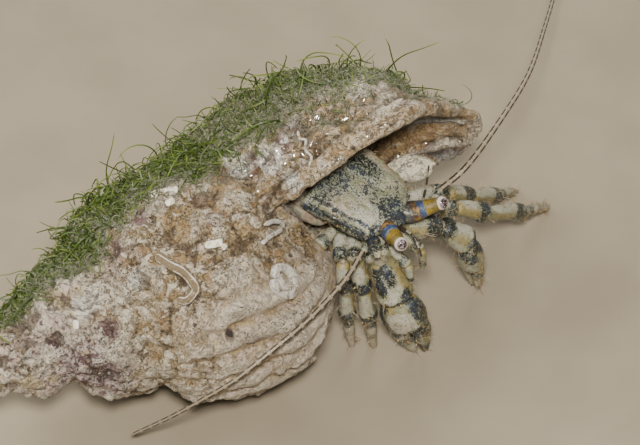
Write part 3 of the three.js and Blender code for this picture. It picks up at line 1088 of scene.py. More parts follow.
@dataclass(frozen=True)
class WornShellFinish:
    """Old shell: chalky lime, ochre crust, plum-coloured patches on the spire, dirt and painted shade in
    every hollow.
    """
    chalk: Colour = rgb(0.74, 0.66, 0.53)
    sand: Colour = rgb(0.60, 0.48, 0.31)
    ochre: Colour = rgb(0.42, 0.29, 0.13)
    umber: Colour = rgb(0.07, 0.048, 0.030)
    rose: Colour = rgb(0.72, 0.57, 0.48)
    plum: Colour = rgb(0.17, 0.075, 0.10)
    ink: Colour = rgb(0.03, 0.025, 0.025)
    moss: Colour = rgb(0.085, 0.12, 0.030)
    felt: Colour = rgb(0.24, 0.25, 0.18)
    callus: Colour = rgb(0.95, 0.87, 0.68)
    brown: Colour = rgb(0.14, 0.080, 0.042)
    tan: Colour = rgb(0.44, 0.29, 0.14)
    rust: Colour = rgb(0.26, 0.14, 0.065)
    lilac: Colour = rgb(0.46, 0.37, 0.39)
    straw: Colour = rgb(0.58, 0.46, 0.25)
    lime: Colour = rgb(0.78, 0.76, 0.68)
    slate: Colour = rgb(0.42, 0.42, 0.42)

    def lip_face(self, m: Paint, round_whorl: Val, grit: Val, patch: Val) -> Val:
        """The layers that show inside the lip, by the way round the whorl; the umber bands and the slate
        deep in the mouth are painted shade.

        Args:
            m: The material.
            round_whorl: Angle round the whorl, in radians.
            grit: Fine noise.
            patch: Broader noise.

        Returns:
            The colour.
        """
        place = (round_whorl - 1.1) / 1.2 + (patch - 0.5) * 0.10 + (grit - 0.5) * 0.04
        # painted shade: umber in the groove under the brown ledge, umber and slate further into the mouth
        layers = m.ramp(place, [(0.0, self.tan), (0.08, self.plum), (0.12, self.lime), (0.20, self.lime),
                                (0.225, self.slate), (0.25, self.tan), (0.38, self.tan), (0.42, self.umber),
                                (0.48, self.chalk), (0.54, self.umber), (0.70, self.slate),
                                (0.80, self.callus)])
        layers = m.blend(m.smooth(patch, 0.56, 0.64) * 0.7, layers, self.chalk)
        layers = m.blend(m.smooth(patch, 0.44, 0.37) * 0.6, layers, self.plum)
        return m.blend(m.smooth(grit, 0.50, 0.40) * 0.6, layers, self.brown)

    def ground(self, m: Paint, n: "Grain") -> Val:
        """The ground colour of each region.

        Args:
            m: The material.
            n: Its shared noises.

        Returns:
            The colour.
        """
        crust = m.blend(m.smooth(n.patch, 0.42, 0.53), self.ochre, self.sand)
        crust = m.blend(m.smooth(n.other, 0.52, 0.58), crust, self.chalk)
        crust = m.blend(m.smooth(n.other, 0.46, 0.39) * 0.7, crust, self.rust)
        spire = m.blend(m.smooth(n.patch, 0.42, 0.52), self.rose, self.chalk)
        spire = m.blend(m.smooth(n.broad, 0.48, 0.60) * 0.5, spire, self.lilac)
        spire = m.blend(m.smooth(m.noise(n.at, 0.55, 5, 0.65), 0.53, 0.60) * 0.75, spire, self.straw)
        spire = m.blend(m.smooth(n.spotty + (n.broad - 0.5) * 0.5, 0.55, 0.63) * 0.85, spire, self.plum)
        base = m.blend(m.smooth(n.other, 0.42, 0.60) * 0.75, self.sand, self.rose)
        base = m.blend(m.smooth(n.lines, 0.48, 0.60) * 0.5, base, self.chalk)
        low = m.smooth(m.value("cords") + (n.other - 0.5) * 3.0, 0.1, -0.9)
        base = m.blend(low * 0.65, base, self.ochre)
        lip = m.blend(m.smooth(n.other, 0.44, 0.54), self.ochre, self.sand)
        lip = m.blend(m.smooth(n.lines, 0.50, 0.60) * 0.6, lip, self.chalk)
        lip = m.blend(m.smooth(n.patch, 0.46, 0.38) * 0.7, lip, self.rust)
        rim = m.blend(m.smooth(n.patch, 0.40, 0.60), self.tan, self.sand)
        rim = m.blend(m.smooth(n.other, 0.54, 0.60) * 0.4, rim, self.chalk)
        colour = crust
        for region, tint in (("spire", spire), ("base", base), ("lip", lip), ("rim", rim)):
            colour = m.blend(m.value(region), colour, tint)
        return colour

    def spots(self, m: Paint, n: "Grain", colour: Val) -> Val:
        """The colour with the spots that belong to this shell.

        Args:
            m: The material.
            n: Its shared noises.
            colour: What lies under the spots.

        Returns:
            The colour.
        """
        scattered = m.smooth(n.spotty, 0.60, 0.66) * m.smooth(n.broad, 0.52, 0.42)
        colour = m.blend(scattered * 0.6, colour, self.plum)
        ragged = (n.patch - 0.5) * 1.6 + (n.grit - 0.5) * 1.2
        for mark, tint in ((Mark.OCHRE, self.ochre), (Mark.PLUM, self.plum), (Mark.BROWN, self.brown),
                           (Mark.WHITE, self.lime)):
            strength = m.smooth(m.value(mark.value) * 0.8 + ragged, 0.42, 0.75)
            colour = m.blend(strength * 0.8, colour, tint)
        return colour

    def weather(self, m: Paint, n: "Grain", colour: Val, cracked: Val, pitted: Val) -> Val:
        """The colour with wear, cracks, flecks, dirt, and painted shade in the hollows, pits, crease and
        bored holes.

        Args:
            m: The material.
            n: Its shared noises.
            colour: What lies under them.
            cracked: Where the cracks are.
            pitted: Where the pits are.

        Returns:
            The colour.
        """
        worn = m.smooth(m.value("height") + (n.grit - 0.5) * 1.4, 0.10, 0.7)
        hollow = m.smooth(m.value("hollow") + (n.grit - 0.5) * 1.4 + (n.patch - 0.5) * 0.8, 0.30, 0.62)
        flecks = m.smooth(m.cells(n.at, 1.9), 0.26, 0.16) * m.smooth(n.patch, 0.50, 0.58)
        dotted = m.smooth(n.specks + (n.patch - 0.5) * 0.5 + (n.broad - 0.5) * 0.4, 0.61, 0.66)
        crease = m.value("crease")
        # dirt and painted shade together: the hollows go umber and brown
        dirt_and_shade = m.blend(m.smooth(n.other, 0.44, 0.56), self.umber, self.brown)
        # painted shade: umber in the pits and in the crease behind the rim, ink in the bored holes
        layers = (
            (worn * 0.65, self.chalk), (cracked * 0.8, self.umber), (hollow * 0.7, dirt_and_shade),
            (flecks * 0.8, self.lime), (m.smooth(n.grit, 0.56, 0.66) * 0.4, self.chalk),
            (m.smooth(n.grit, 0.43, 0.33) * 0.35, self.umber), (dotted * 0.85, self.ink),
            (pitted * 0.85, self.umber), (crease.at_most(1.0) * 0.7, self.umber),
            (m.smooth(crease + (n.grit - 0.5) * 0.5, 0.95, 1.2) * 0.85, self.ink))
        for strength, tint in layers:
            colour = m.blend(strength, colour, tint)
        return colour

    def material(self) -> bpy.types.Material:
        """Build the material.

        Returns:
            The material, ready for a slot.
        """
        m = Paint("worn_shell")
        n = Grain.of(m)
        cracked = m.smooth((n.other - 0.5).math("ABSOLUTE"), 0.020, 0.004) * m.smooth(n.grit, 0.40, 0.52)
        cracked = cracked.at_least(m.smooth((n.patch - 0.47).math("ABSOLUTE"), 0.009, 0.002) * 0.7)
        cracked = cracked * (1.0 - m.value("base") * 0.6)
        # the pits, which the finish paints umber as shade
        pitted = m.smooth(m.cells(n.at, 0.8), 0.16, 0.09) * m.smooth(n.other, 0.47, 0.56)
        colour = self.weather(m, n, self.spots(m, n, self.ground(m, n)), cracked, pitted)
        # the weed's green stain and the grey felt under it
        felted = m.smooth(m.value("weedy") + (n.grit - 0.5) * 0.9 + (n.patch - 0.5) * 0.8, 0.25, 0.65)
        felt = m.blend(m.smooth(n.grit, 0.42, 0.6), self.moss, self.felt)
        colour = m.blend(felted * 0.85, colour, felt)
        # inside the mouth
        bare = m.value("inside")
        colour = m.blend(bare, colour, self.lip_face(m, m.value("round"), n.grit, n.patch))
        colour = m.blend(m.value("callus") * m.smooth(n.specks, 0.30, 0.40), colour, self.callus)
        # painted shade: umber deep inside the mouth
        colour = m.blend(m.value("shade"), colour, self.umber)
        wet = m.value("wet") * m.smooth(m.noise(n.at, 1.6, 3), 0.36, 0.50)
        roughness = (0.86 - wet * 0.80 - bare * 0.2 + (n.grit - 0.5) * 0.2).at_least(0.08)
        fine = (n.grit * 0.36 + n.specks * 0.10) * (1.0 - wet * 0.8)
        relief = n.patch * 0.6 + n.other * 0.6 + fine - pitted * 0.5 - cracked * 0.4
        return m.finish(colour, roughness, m.bump(relief, 0.80), Specular_IOR_Level=0.45, Coat_Weight=wet,
                        Coat_Roughness=0.05, Coat_IOR=1.8)


@dataclass(frozen=True)
class WormTubeFinish:
    """Tubes of lime: pale edges, a dull brownish back, dirt, and painted shade at the mouth end."""
    edge: Colour = rgb(0.60, 0.57, 0.49)
    white: Colour = rgb(0.46, 0.44, 0.40)
    back: Colour = rgb(0.17, 0.125, 0.070)
    dirt_and_shade: Colour = rgb(0.10, 0.065, 0.035)

    def material(self) -> bpy.types.Material:
        """Build the material.

        Returns:
            The material, ready for a slot.
        """
        m = Paint("worm_tube")
        at = m.place()
        grit = m.noise(at, 5.0, 5, 0.65)
        ridge = m.value("ridge")
        patch = m.noise(at, 1.4, 4, 0.6)
        edged = m.smooth(ridge + (grit - 0.5) * 0.9 + (patch - 0.5) * 1.2, 0.45, 0.75)
        colour = m.blend(edged, m.blend(m.value("white") * m.smooth(patch, 0.3, 0.5), self.back,
                                        self.white), self.edge)
        colour = m.blend(m.smooth(grit, 0.48, 0.36) * 0.75, colour, self.dirt_and_shade)
        colour = m.blend(m.smooth(patch, 0.46, 0.34) * 0.6, colour, self.back)
        colour = m.blend(m.smooth(grit + (patch - 0.5) * 0.6, 0.56, 0.68) * 0.65, colour, self.edge)
        # painted shade: the tube's closed end painted dark as its open mouth
        colour = m.blend(m.value("mouth"), colour, self.dirt_and_shade)
        return m.finish(colour, 0.8 + (grit - 0.5) * 0.2, m.bump(grit, 0.12, 0.7))


@dataclass(frozen=True)
class ChipFinish:
    """Loose flakes of white shell."""
    white: Colour = rgb(0.78, 0.76, 0.64)
    dull: Colour = rgb(0.50, 0.46, 0.33)

    def material(self) -> bpy.types.Material:
        """Build the material.

        Returns:
            The material, ready for a slot.
        """
        m = Paint("lime_flake")
        grit = m.noise(m.place(), 3.0, 5, 0.6)
        colour = m.blend(m.smooth(grit, 0.56, 0.40), self.white, self.dull)
        return m.finish(colour, 0.7 + (grit - 0.5) * 0.3, m.bump(grit, 0.15, 0.6))


@dataclass(frozen=True)
class SkinPlaces:
    """Where each point of the shell's skin lies, measured against the spiral."""
    points: np.ndarray
    back: np.ndarray
    phi: np.ndarray
    along: np.ndarray
    turn: np.ndarray
    radius: np.ndarray
    half_height: np.ndarray
    depth: np.ndarray
    inside: np.ndarray
    edge: np.ndarray

    @staticmethod
    def of(points: np.ndarray, rule: WhorlRule) -> "SkinPlaces":
        """Measure points against the spiral.

        Args:
            points: Places on the skin, one a row.
            rule: The spiral.

        Returns:
            Each point's whorls back, angles, sizes, depth and the noise that makes borders ragged.
        """
        back, phi, size = rule.find(points)
        own = rule.own(points)
        _, radius, half_height, _ = rule.section(np.maximum(back, 0.0))
        depth = (1.0 - size) * half_height
        turn = np.degrees(np.arctan2(own[:, 2], own[:, 1]))
        return SkinPlaces(points, back, phi, own[:, 0], turn, radius, half_height, depth,
                          step(depth, 0.35, 0.8), rough_noise(points, 0.22, 3, 3) * 2.2)


@dataclass
class Shell:
    """The borrowed shell: whorls and crust fused, its mouth hollowed, and what grows on it as lime."""
    rule: WhorlRule = field(default_factory=WhorlRule)
    wall: float = 1.1
    voxel: float = 0.192
    crust_start: float = 0.9
    crust_end: float = 27.0
    crust_radius: float = 8.9
    crust_swell: float = 0.15
    crust_swell_turn: float = -75.0
    relief: float = 0.44
    relief_sink: float = 0.12
    skin_sink: float = 0.02
    crease_depth: float = 0.25
    hole_depth: float = 0.5
    spire_along: Tuple[float, float] = (15.5, 11.0)
    base_along: Tuple[float, float] = (15.5, 18.5)
    base_start: Tuple[float, float] = (0.66, 0.72)
    base_end: Tuple[float, float] = (0.925, 0.875)
    lip_back: Tuple[float, float] = (0.50, 0.30)
    cord_start: float = 0.78
    cord_gap: float = 0.039
    wet_place: Tuple[float, float] = (0.022, -0.93)
    weed_turns: Tuple[float, float] = (-125.0, -10.0)
    weed_reach: Tuple[float, float] = (1.5, 41.0)
    passage: Tuple[float, float] = (0.75, -0.07)
    rim_turns: Tuple[float, float] = (-1.3, 1.62)
    rim_radius: float = 0.70
    rim_back: float = -0.006
    rim_points: int = 60
    callus_place: Point = (10.05, -3.25, 9.75)
    callus_size: Point = (1.6, 0.85, 0.6)

    def whorls(self, start: float, end: float, grow: float, rings: int = 170, sides: int = 49) -> Form:
        """A length of the spiral as one closed tube.

        Args:
            start: Where it starts, in whorls back from the lip.
            end: Where it ends.
            grow: How far outside the rule's surface.
            rings: Rings along it.
            sides: Points in a ring.

        Returns:
            The closed tube.
        """
        group = self.rule.tree()
        inputs = {"From": start, "To": end, "Grow": grow, "Rings": float(rings), "Sides": float(sides)}
        mesh = grown(group, bpy.data.meshes.new("sheet"), inputs)
        form = Form.of_mesh(mesh)
        bpy.data.meshes.remove(mesh)
        return Form(self.rule.placed(form.points), form.faces).outward()

    def crust(self) -> Form:
        """The crust that fills the seams of the spire, swollen on its far side.

        Returns:
            The crust as one closed form.
        """
        part = np.linspace(self.crust_start / self.crust_end, 1.0, 40)
        radius = self.crust_radius * part ** 0.82 * (1 - 0.55 * step(part, 0.86, 1.0))
        turn = full_turn(48)
        bulge = self.crust_swell * np.cos(turn - math.radians(self.crust_swell_turn))[None, :]
        swell = 1 + bulge * part[:, None]
        away = radius[:, None] * swell
        along = np.repeat(self.crust_end * part[:, None], len(turn), axis=1)
        own = np.stack([along, away * np.cos(turn), away * np.sin(turn)], axis=-1)
        return rings_form(self.rule.placed(own)).outward()

    def rim_line(self) -> np.ndarray:
        """The line that the lip's thick rim follows."""
        return self.rim_at(-0.42)

    def rim_at(self, grow: float) -> np.ndarray:
        """A line round the lip, so far outside the whorl's surface.

        Args:
            grow: How far outside, in millimetres.

        Returns:
            The points of the line.
        """
        turns = np.linspace(*self.rim_turns, self.rim_points)
        return self.rule.point(np.full(self.rim_points, self.rim_back), turns, grow)

    def rim(self) -> Form:
        """The lip's rolled rim, as a bead along its edge.

        Returns:
            The bead as one closed form.
        """
        line = self.rim_line()
        outwards = self.rim_at(0.4) - line
        part = np.linspace(0.0, 1.0, self.rim_points)
        uneven = 0.9 + 0.16 * np.sin(part * 23.0) * np.sin(part * 9.0 + 1.0)
        reach = self.rim_radius * uneven * np.sqrt(hump(part, 0.5, 0.56))
        return swept(line, outwards, np.repeat(reach[:, None], 20, axis=1))

    def callus(self) -> Form:
        """The smooth pad of lime on the inner lip.

        Returns:
            The pad as one closed form.
        """
        lean = np.array([[1.0, 0.1, 0.0], [-0.1, 0.75, 0.66], [0.07, -0.66, 0.75]])
        ball = ball_form(24, 32)
        return Form(ball.points * np.array(self.callus_size) @ lean + np.array(self.callus_place),
                    ball.faces)

    def body(self) -> Form:
        """The whole shell as one even skin.

        Returns:
            The skin, before its relief.
        """
        parts = [self.whorls(self.rule.whorls, 0.0, 0.0), self.crust(), self.rim(), self.callus()]
        outside = Form.joined(parts).fused(self.voxel)
        first, last = self.passage
        inner = Form.joined([self.whorls(self.rule.whorls, first, 0.0), self.crust()]).fused(0.24)
        hollow = self.whorls(first, last, -self.wall, 60, 49).without(inner)
        return outside.without(hollow).fused(self.voxel, 1)

    def zones(self, at: SkinPlaces) -> Dict[str, np.ndarray]:
        """How far each point belongs to the spire, to the ribbed base and to the lip.

        Args:
            at: The skin's points.

        Returns:
            The three shares, by name.
        """
        outside = 1 - at.inside
        ragged = at.back + at.edge * 0.012
        base = step(ragged, *self.base_start) * step(ragged, *self.base_end)
        return {"spire": step(at.along + at.edge, *self.spire_along) * outside,
                "base": base * step(at.along + at.edge * 0.5, *self.base_along) * outside,
                "lip": step(at.back + at.edge * 0.015, *self.lip_back) * outside}

    def carved(self, at: SkinPlaces, base: np.ndarray, lip: np.ndarray) -> Dict[str, np.ndarray]:
        """The relief: lumps, cords, growth marks, knobs and creases.

        Args:
            at: The skin's points.
            base: Which of them are on the ribbed base.
            lip: Which are on the lip.

        Returns:
            The height, the hollows, the cords and the fine grain.
        """
        points = at.points
        wander = lattice_noise(points, 0.28, 9) * 1.1 + lattice_noise(points, 0.8, 10) * 0.5
        lumps = rough_noise(points, 0.40, 4, 11, 0.55)
        wave = np.cos((at.back - self.cord_start) * TAU / self.cord_gap + wander)
        cords = (1.0 - 0.5 * (1.0 - wave) ** 1.6 + lumps * 0.35) * base * step(at.phi, 1.05, 0.75)
        grain = rough_noise(points, 1.5, 3, 21, 0.62)
        coarse, fine = (1 - np.abs(lattice_noise(points, *kind)) for kind in ((0.75, 31), (1.6, 32)))
        creases = coarse ** 5 + 0.6 * fine ** 5
        far = cell_distance(points, 0.36, 7)
        knobs = step(far, 0.42, 0.24) * (1 - 1.3 * step(far, 0.20, 0.08)) * step(lumps, -0.25, 0.2)
        rough = 0.3 + 0.7 * np.clip(1 - base * 0.8 - at.inside, 0, 1)
        rings = np.sin(at.back * 150.0 + lattice_noise(points, 0.5, 5) * 3.0)
        growth = rings * lip * step(at.back, 0.16, 0.05)
        crust = lumps * 1.0 + grain * 0.28 - creases * 0.60 + knobs * 0.5 + 0.15
        # the hollows, which the finish paints dark: dirt together with painted shade
        hollow = np.clip(creases * 1.1 - grain * 0.35 - lumps * 0.30 - 0.45, 0, 1) * (1 - 0.6 * base)
        return {"height": crust * rough + cords * 0.78 + growth * 0.1, "hollow": hollow, "cords": cords,
                "grain": grain}

    def features(self, at: SkinPlaces) -> Dict[str, np.ndarray]:
        """The rim, the crease behind it, the bored holes and the callus.

        Args:
            at: The skin's points.

        Returns:
            How far each point belongs to each of them, by name.
        """
        to_rim = nearest_distance(at.points, self.rim_line())
        holes = np.zeros(len(at.points))
        for place, wide in BORE_HOLES:
            away = np.linalg.norm(at.points - np.array(place), axis=1)
            holes = np.maximum(holes, step(away, wide, wide * 0.8))
        reach = np.array(self.callus_size) + 0.25
        to_callus = np.linalg.norm((at.points - np.array(self.callus_place)) / reach, axis=1)
        # the finish paints the crease and the bored holes dark: painted shade
        return {"rim": step(to_rim, 1.15, 0.85), "crease": hump(to_rim, 1.3, 0.3) * (1 - at.inside),
                "holes": holes, "callus": step(to_callus, 1.15, 1.0)}

    def weed_on(self, at: SkinPlaces) -> Dict[str, np.ndarray]:
        """Where the weed grows: everywhere it can, in clumps, and as a thin fringe.

        Args:
            at: The skin's points.

        Returns:
            The weights of the mat, of the tufts and of the fringe.
        """
        middle = (self.weed_turns[0] + self.weed_turns[1]) / 2
        half = (self.weed_turns[1] - self.weed_turns[0]) / 2
        drift = 5.0 * step(at.along, 27.0, 30.0) - 9.0 * hump(at.along, 24.0, 3.0)
        off = np.abs((at.turn - drift - middle + 180) % 360 - 180)
        first, last = self.weed_reach
        reach = step(at.along, first - 2, first + 2) * step(at.along, last + 1, last - 3)
        reach = reach * step(at.phi, 1.15, 0.95) * (1 - at.inside)
        weedy = step(off + at.edge * 4.0, half + 10, half - 12) * reach
        clumps = step(rough_noise(at.points, 0.55, 3, 61), -0.35, 0.25)
        fringe = hump(at.turn - drift + at.edge * 3.0, self.weed_turns[1] - 4.0, 20.0) * reach
        return {"growth": weedy * (0.25 + 0.75 * clumps), "turf": weedy, "fuzz": fringe}

    def lip_layers(self, at: SkinPlaces, grain: np.ndarray) -> np.ndarray:
        """How far the lip's layers stand out inside the mouth.

        Args:
            at: The skin's points.
            grain: The skin's fine grain.

        Returns:
            The measure in millimetres.
        """
        inner = at.inside * step(at.back, 0.28, 0.22) * step(at.phi, 1.0, 1.2)
        ledges = sum(high * hump(at.phi, place, wide) for place, wide, high in LIP_LEDGES)
        return (ledges + 0.12 * grain) * inner

    def weathered(self, form: Form) -> Form:
        """The skin with its lumps, cords, growth marks and pits, and what the finish reads.

        Args:
            form: The even skin.

        Returns:
            The skin with its relief and its named values.
        """
        at = SkinPlaces.of(form.points, self.rule)
        inside, back, phi = at.inside, at.back, at.phi
        zone, weed, made = self.zones(at), self.weed_on(at), self.features(at)
        carved = self.carved(at, zone["base"], zone["lip"])
        grain = carved.pop("grain")
        rim, crease, holes, callus = made["rim"], made["crease"], made["holes"], made["callus"]
        floor = step(at.points[:, 2], 0.0, 1.2)
        relief = (carved["height"] * self.relief - self.relief_sink) * (1 - inside)
        relief = relief * (1 - 0.7 * rim) * (1 - callus) * floor - self.skin_sink
        relief = relief - self.crease_depth * crease * floor - self.hole_depth * holes
        moved = form.pushed(relief + self.lip_layers(at, grain) + 0.05 * rim * grain)
        moved.points[:, 2] = np.maximum(moved.points[:, 2], 0.0)
        film = 1.6 * hump(back, self.wet_place[0], 0.06) * hump(phi, self.wet_place[1], 0.55)
        wet = np.maximum(film, 0.4 * zone["lip"]) * (1 - inside)
        # painted shade: darker with depth in the whorl and further back inside the mouth, none on the
        # callus
        shade = np.maximum(step(at.depth, 2.2, 6.0) * 0.5, step(back, 0.18, 0.28) * 0.65) * (1 - callus)
        margin = step(back, 0.07, 0.045) * step(phi, 1.30, 1.20)
        flat = np.zeros(len(at.points))
        unwrap = np.stack([np.clip(back, 0, self.rule.whorls) / 5.6 + 0.03,
                           (phi / TAU + 0.5) * 0.94 + 0.03, flat], axis=-1)
        moved.values = {
            "height": np.clip(carved["height"], -1, 1), "hollow": carved["hollow"],
            "cords": carved["cords"], "spire": np.maximum(zone["spire"], inside * margin),
            "base": zone["base"], "lip": zone["lip"], "inside": inside * (1 - margin), "round": phi,
            "rim": rim * (1 - callus), "crease": np.maximum(crease, holes * 1.3), "callus": callus,
            "weedy": np.maximum(weed["turf"], weed["fuzz"] * 0.4), "wet": np.clip(wet, 0, 1),
            "shade": shade * inside,
            "flow": np.stack([-back * TAU * at.radius * 0.75, phi * at.half_height, flat], axis=-1),
            "root_uv": unwrap, **weed, "lie": self.weed_lie(at.points)}
        moved.values.update(self.spotted(at.points))
        return moved

    def spotted(self, points: np.ndarray) -> Dict[str, np.ndarray]:
        """How strong each kind of spot is at each point.

        Args:
            points: Places on the skin.

        Returns:
            For each kind of spot, its strength at each place.
        """
        ragged = rough_noise(points, 0.9, 3, 71) * 0.5
        spots = {mark.value: np.zeros(len(points)) for mark in Mark}
        for mark, back, phi, size in SHELL_MARKS:
            far = np.linalg.norm(points - self.rule.point(back, phi), axis=1) + ragged
            spots[mark.value] = np.maximum(spots[mark.value], step(far, size, size * 0.3))
        return spots

    def weed_lie(self, points: np.ndarray) -> np.ndarray:
        """Which way the weed trails: up, and a little away from the crab.

        Args:
            points: Places on the skin.

        Returns:
            One unit vector for each place.
        """
        lie = np.tile(np.array([-0.25, 0.55, 0.8]), (len(points), 1))
        lie += 0.9 * np.stack([lattice_noise(points, 0.3, seed) for seed in (41, 42, 43)], axis=-1)
        return lie / np.linalg.norm(lie, axis=1)[:, None]

    def worm_tube(self, path: Sequence[Tuple[float, float]], radius: float, white: float,
                  rings: int = 110) -> Form:
        """A worm's tube along places on the whorl, with a ridge on either side and a closed end painted
        dark as its open mouth, painted shade.

        Args:
            path: Places on the whorl, each in whorls back and angle.
            radius: The tube's radius.
            white: 1 for a white tube and 0 for one of the crust's colour.
            rings: Rings along it.

        Returns:
            The tube as one closed form.
        """
        places = np.array(path)
        run = np.linspace(0, len(path) - 1, rings)
        spots = catmull(places, run)
        line = self.rule.point(spots[:, 0], spots[:, 1], 0.04)
        outside = line - self.rule.point(spots[:, 0], spots[:, 1], 0.0)
        turn = full_turn(30)
        ridge = hump(off_zero(turn), 0.62, 0.30)
        ends = np.sqrt(np.clip(np.minimum(run - run[0], (run[-1] - run) * 1.6) * 3.0, 0.02, 1.0))
        growth = 1 + 0.02 * np.sin(run * 41) + 0.04 * np.sin(run * 3.3 + radius * 9) - 0.15 * run / run[-1]
        reach = radius * (0.92 + 0.16 * ridge)[None, :] * (ends * growth)[:, None]
        # where the finish paints the end dark as the open mouth: painted shade
        mouth = np.repeat(step(run, run[-1] - 0.02, run[-1])[:, None], len(turn), axis=1)
        ridges = np.repeat(ridge[None, :], len(line), axis=0)
        tube = swept(line, outside, reach, {"ridge": ridges, "mouth": mouth,
                                            "white": np.full(ridges.shape, white)})
        return tube.pushed(rough_noise(tube.points, 1.6, 3, 17) * 0.16 * radius)

    def flake(self, back: float, phi: float, size: Point, turned: float, seed: int) -> Form:
        """A loose flake of white shell lying on the whorl.

        Args:
            back: Where it lies, in whorls from the lip.
            phi: Where it lies, round the whorl.
            size: Its length, width and thickness.
            turned: How far its length is turned from east, in degrees.
            seed: Which of its chance outlines.

        Returns:
            The flake.
        """
        centre = self.rule.point(back, phi, 0.16 + 0.14 * size[0] / 1.8)
        high = centre - self.rule.point(back, phi, 0.0)
        high = high / np.linalg.norm(high)
        turn = math.radians(turned)
        ahead, side = across(high, np.array([math.cos(turn), math.sin(turn), 0.0]))
        ball = ball_form(18, 28)
        slab = signed_power(ball.points, 0.45) * np.array(size) / 2
        slab = slab * (1 + 0.16 * lattice_noise(slab + seed, 1.6, seed)[:, None])
        return Form(centre + slab @ np.stack([ahead, side, high]), ball.faces).outward()


def nearest_distance(points: np.ndarray, line: np.ndarray) -> np.ndarray:
    """How far each point is from the nearest point of a line.

    Args:
        points: Places, one a row.
        line: The line's points.

    Returns:
        One distance for each place.
    """
    nearest = np.full(len(points), FAR)
    for spot in line:
        nearest = np.minimum(nearest, np.linalg.norm(points - spot, axis=1))
    return nearest


def ball_form(rings: int, sides: int) -> Form:
    """A ball of radius 1, to be stretched and shaped.

    Args:
        rings: Rings from pole to pole.
        sides: Points in a ring.

    Returns:
        The ball.
    """
    climb = np.linspace(0.03, math.pi - 0.03, rings)[:, None]
    turn = full_turn(sides)[None, :]
    ball = [np.sin(climb) * np.cos(turn), np.sin(climb) * np.sin(turn),
            np.repeat(np.cos(climb), sides, axis=1)]
    return rings_form(np.stack(ball, axis=-1)).outward()


def swept(line: np.ndarray, outside: np.ndarray, reach: np.ndarray,
          values: Optional[Dict[str, np.ndarray]] = None) -> Form:
    """A closed tube along a line.

    Args:
        line: Points along its middle.
        outside: At each of them, which way angle 0 of the ring looks.
        reach: How far the tube reaches from the line, by point and angle.
        values: Numbers that the tube carries.

    Returns:
        The tube.
    """
    ahead = np.gradient(line, axis=0)
    ahead /= np.linalg.norm(ahead, axis=1)[:, None]
    high = outside - np.sum(outside * ahead, axis=1)[:, None] * ahead
    high /= np.linalg.norm(high, axis=1)[:, None]
    wide = np.cross(ahead, high)
    turn = full_turn(reach.shape[1])
    ring = (high[:, None] * (np.cos(turn)[None, :] * reach)[..., None]
            + wide[:, None] * (np.sin(turn)[None, :] * reach)[..., None])
    return rings_form(line[:, None] + ring, values).outward()


def catmull(points: np.ndarray, run: np.ndarray) -> np.ndarray:
    """Places on a smooth line through points, where a whole number is a point.

    Args:
        points: The points that the line goes through.
        run: Where on the line, counted in points.

    Returns:
        One place for each run.
    """
    padded = np.concatenate([2 * points[:1] - points[1:2], points, 2 * points[-1:] - points[-2:-1]])
    first = np.clip(np.floor(run).astype(int), 0, len(points) - 2)
    t = (run - first)[:, None]
    p0, p1, p2, p3 = (padded[first + i] for i in range(4))
    return 0.5 * (2 * p1 + (p2 - p0) * t + (2 * p0 - 5 * p1 + 4 * p2 - p3) * t ** 2
                  + (3 * p1 - p0 - 3 * p2 + p3) * t ** 3)


# ---------------------------------------------------------------- the crab's finishes


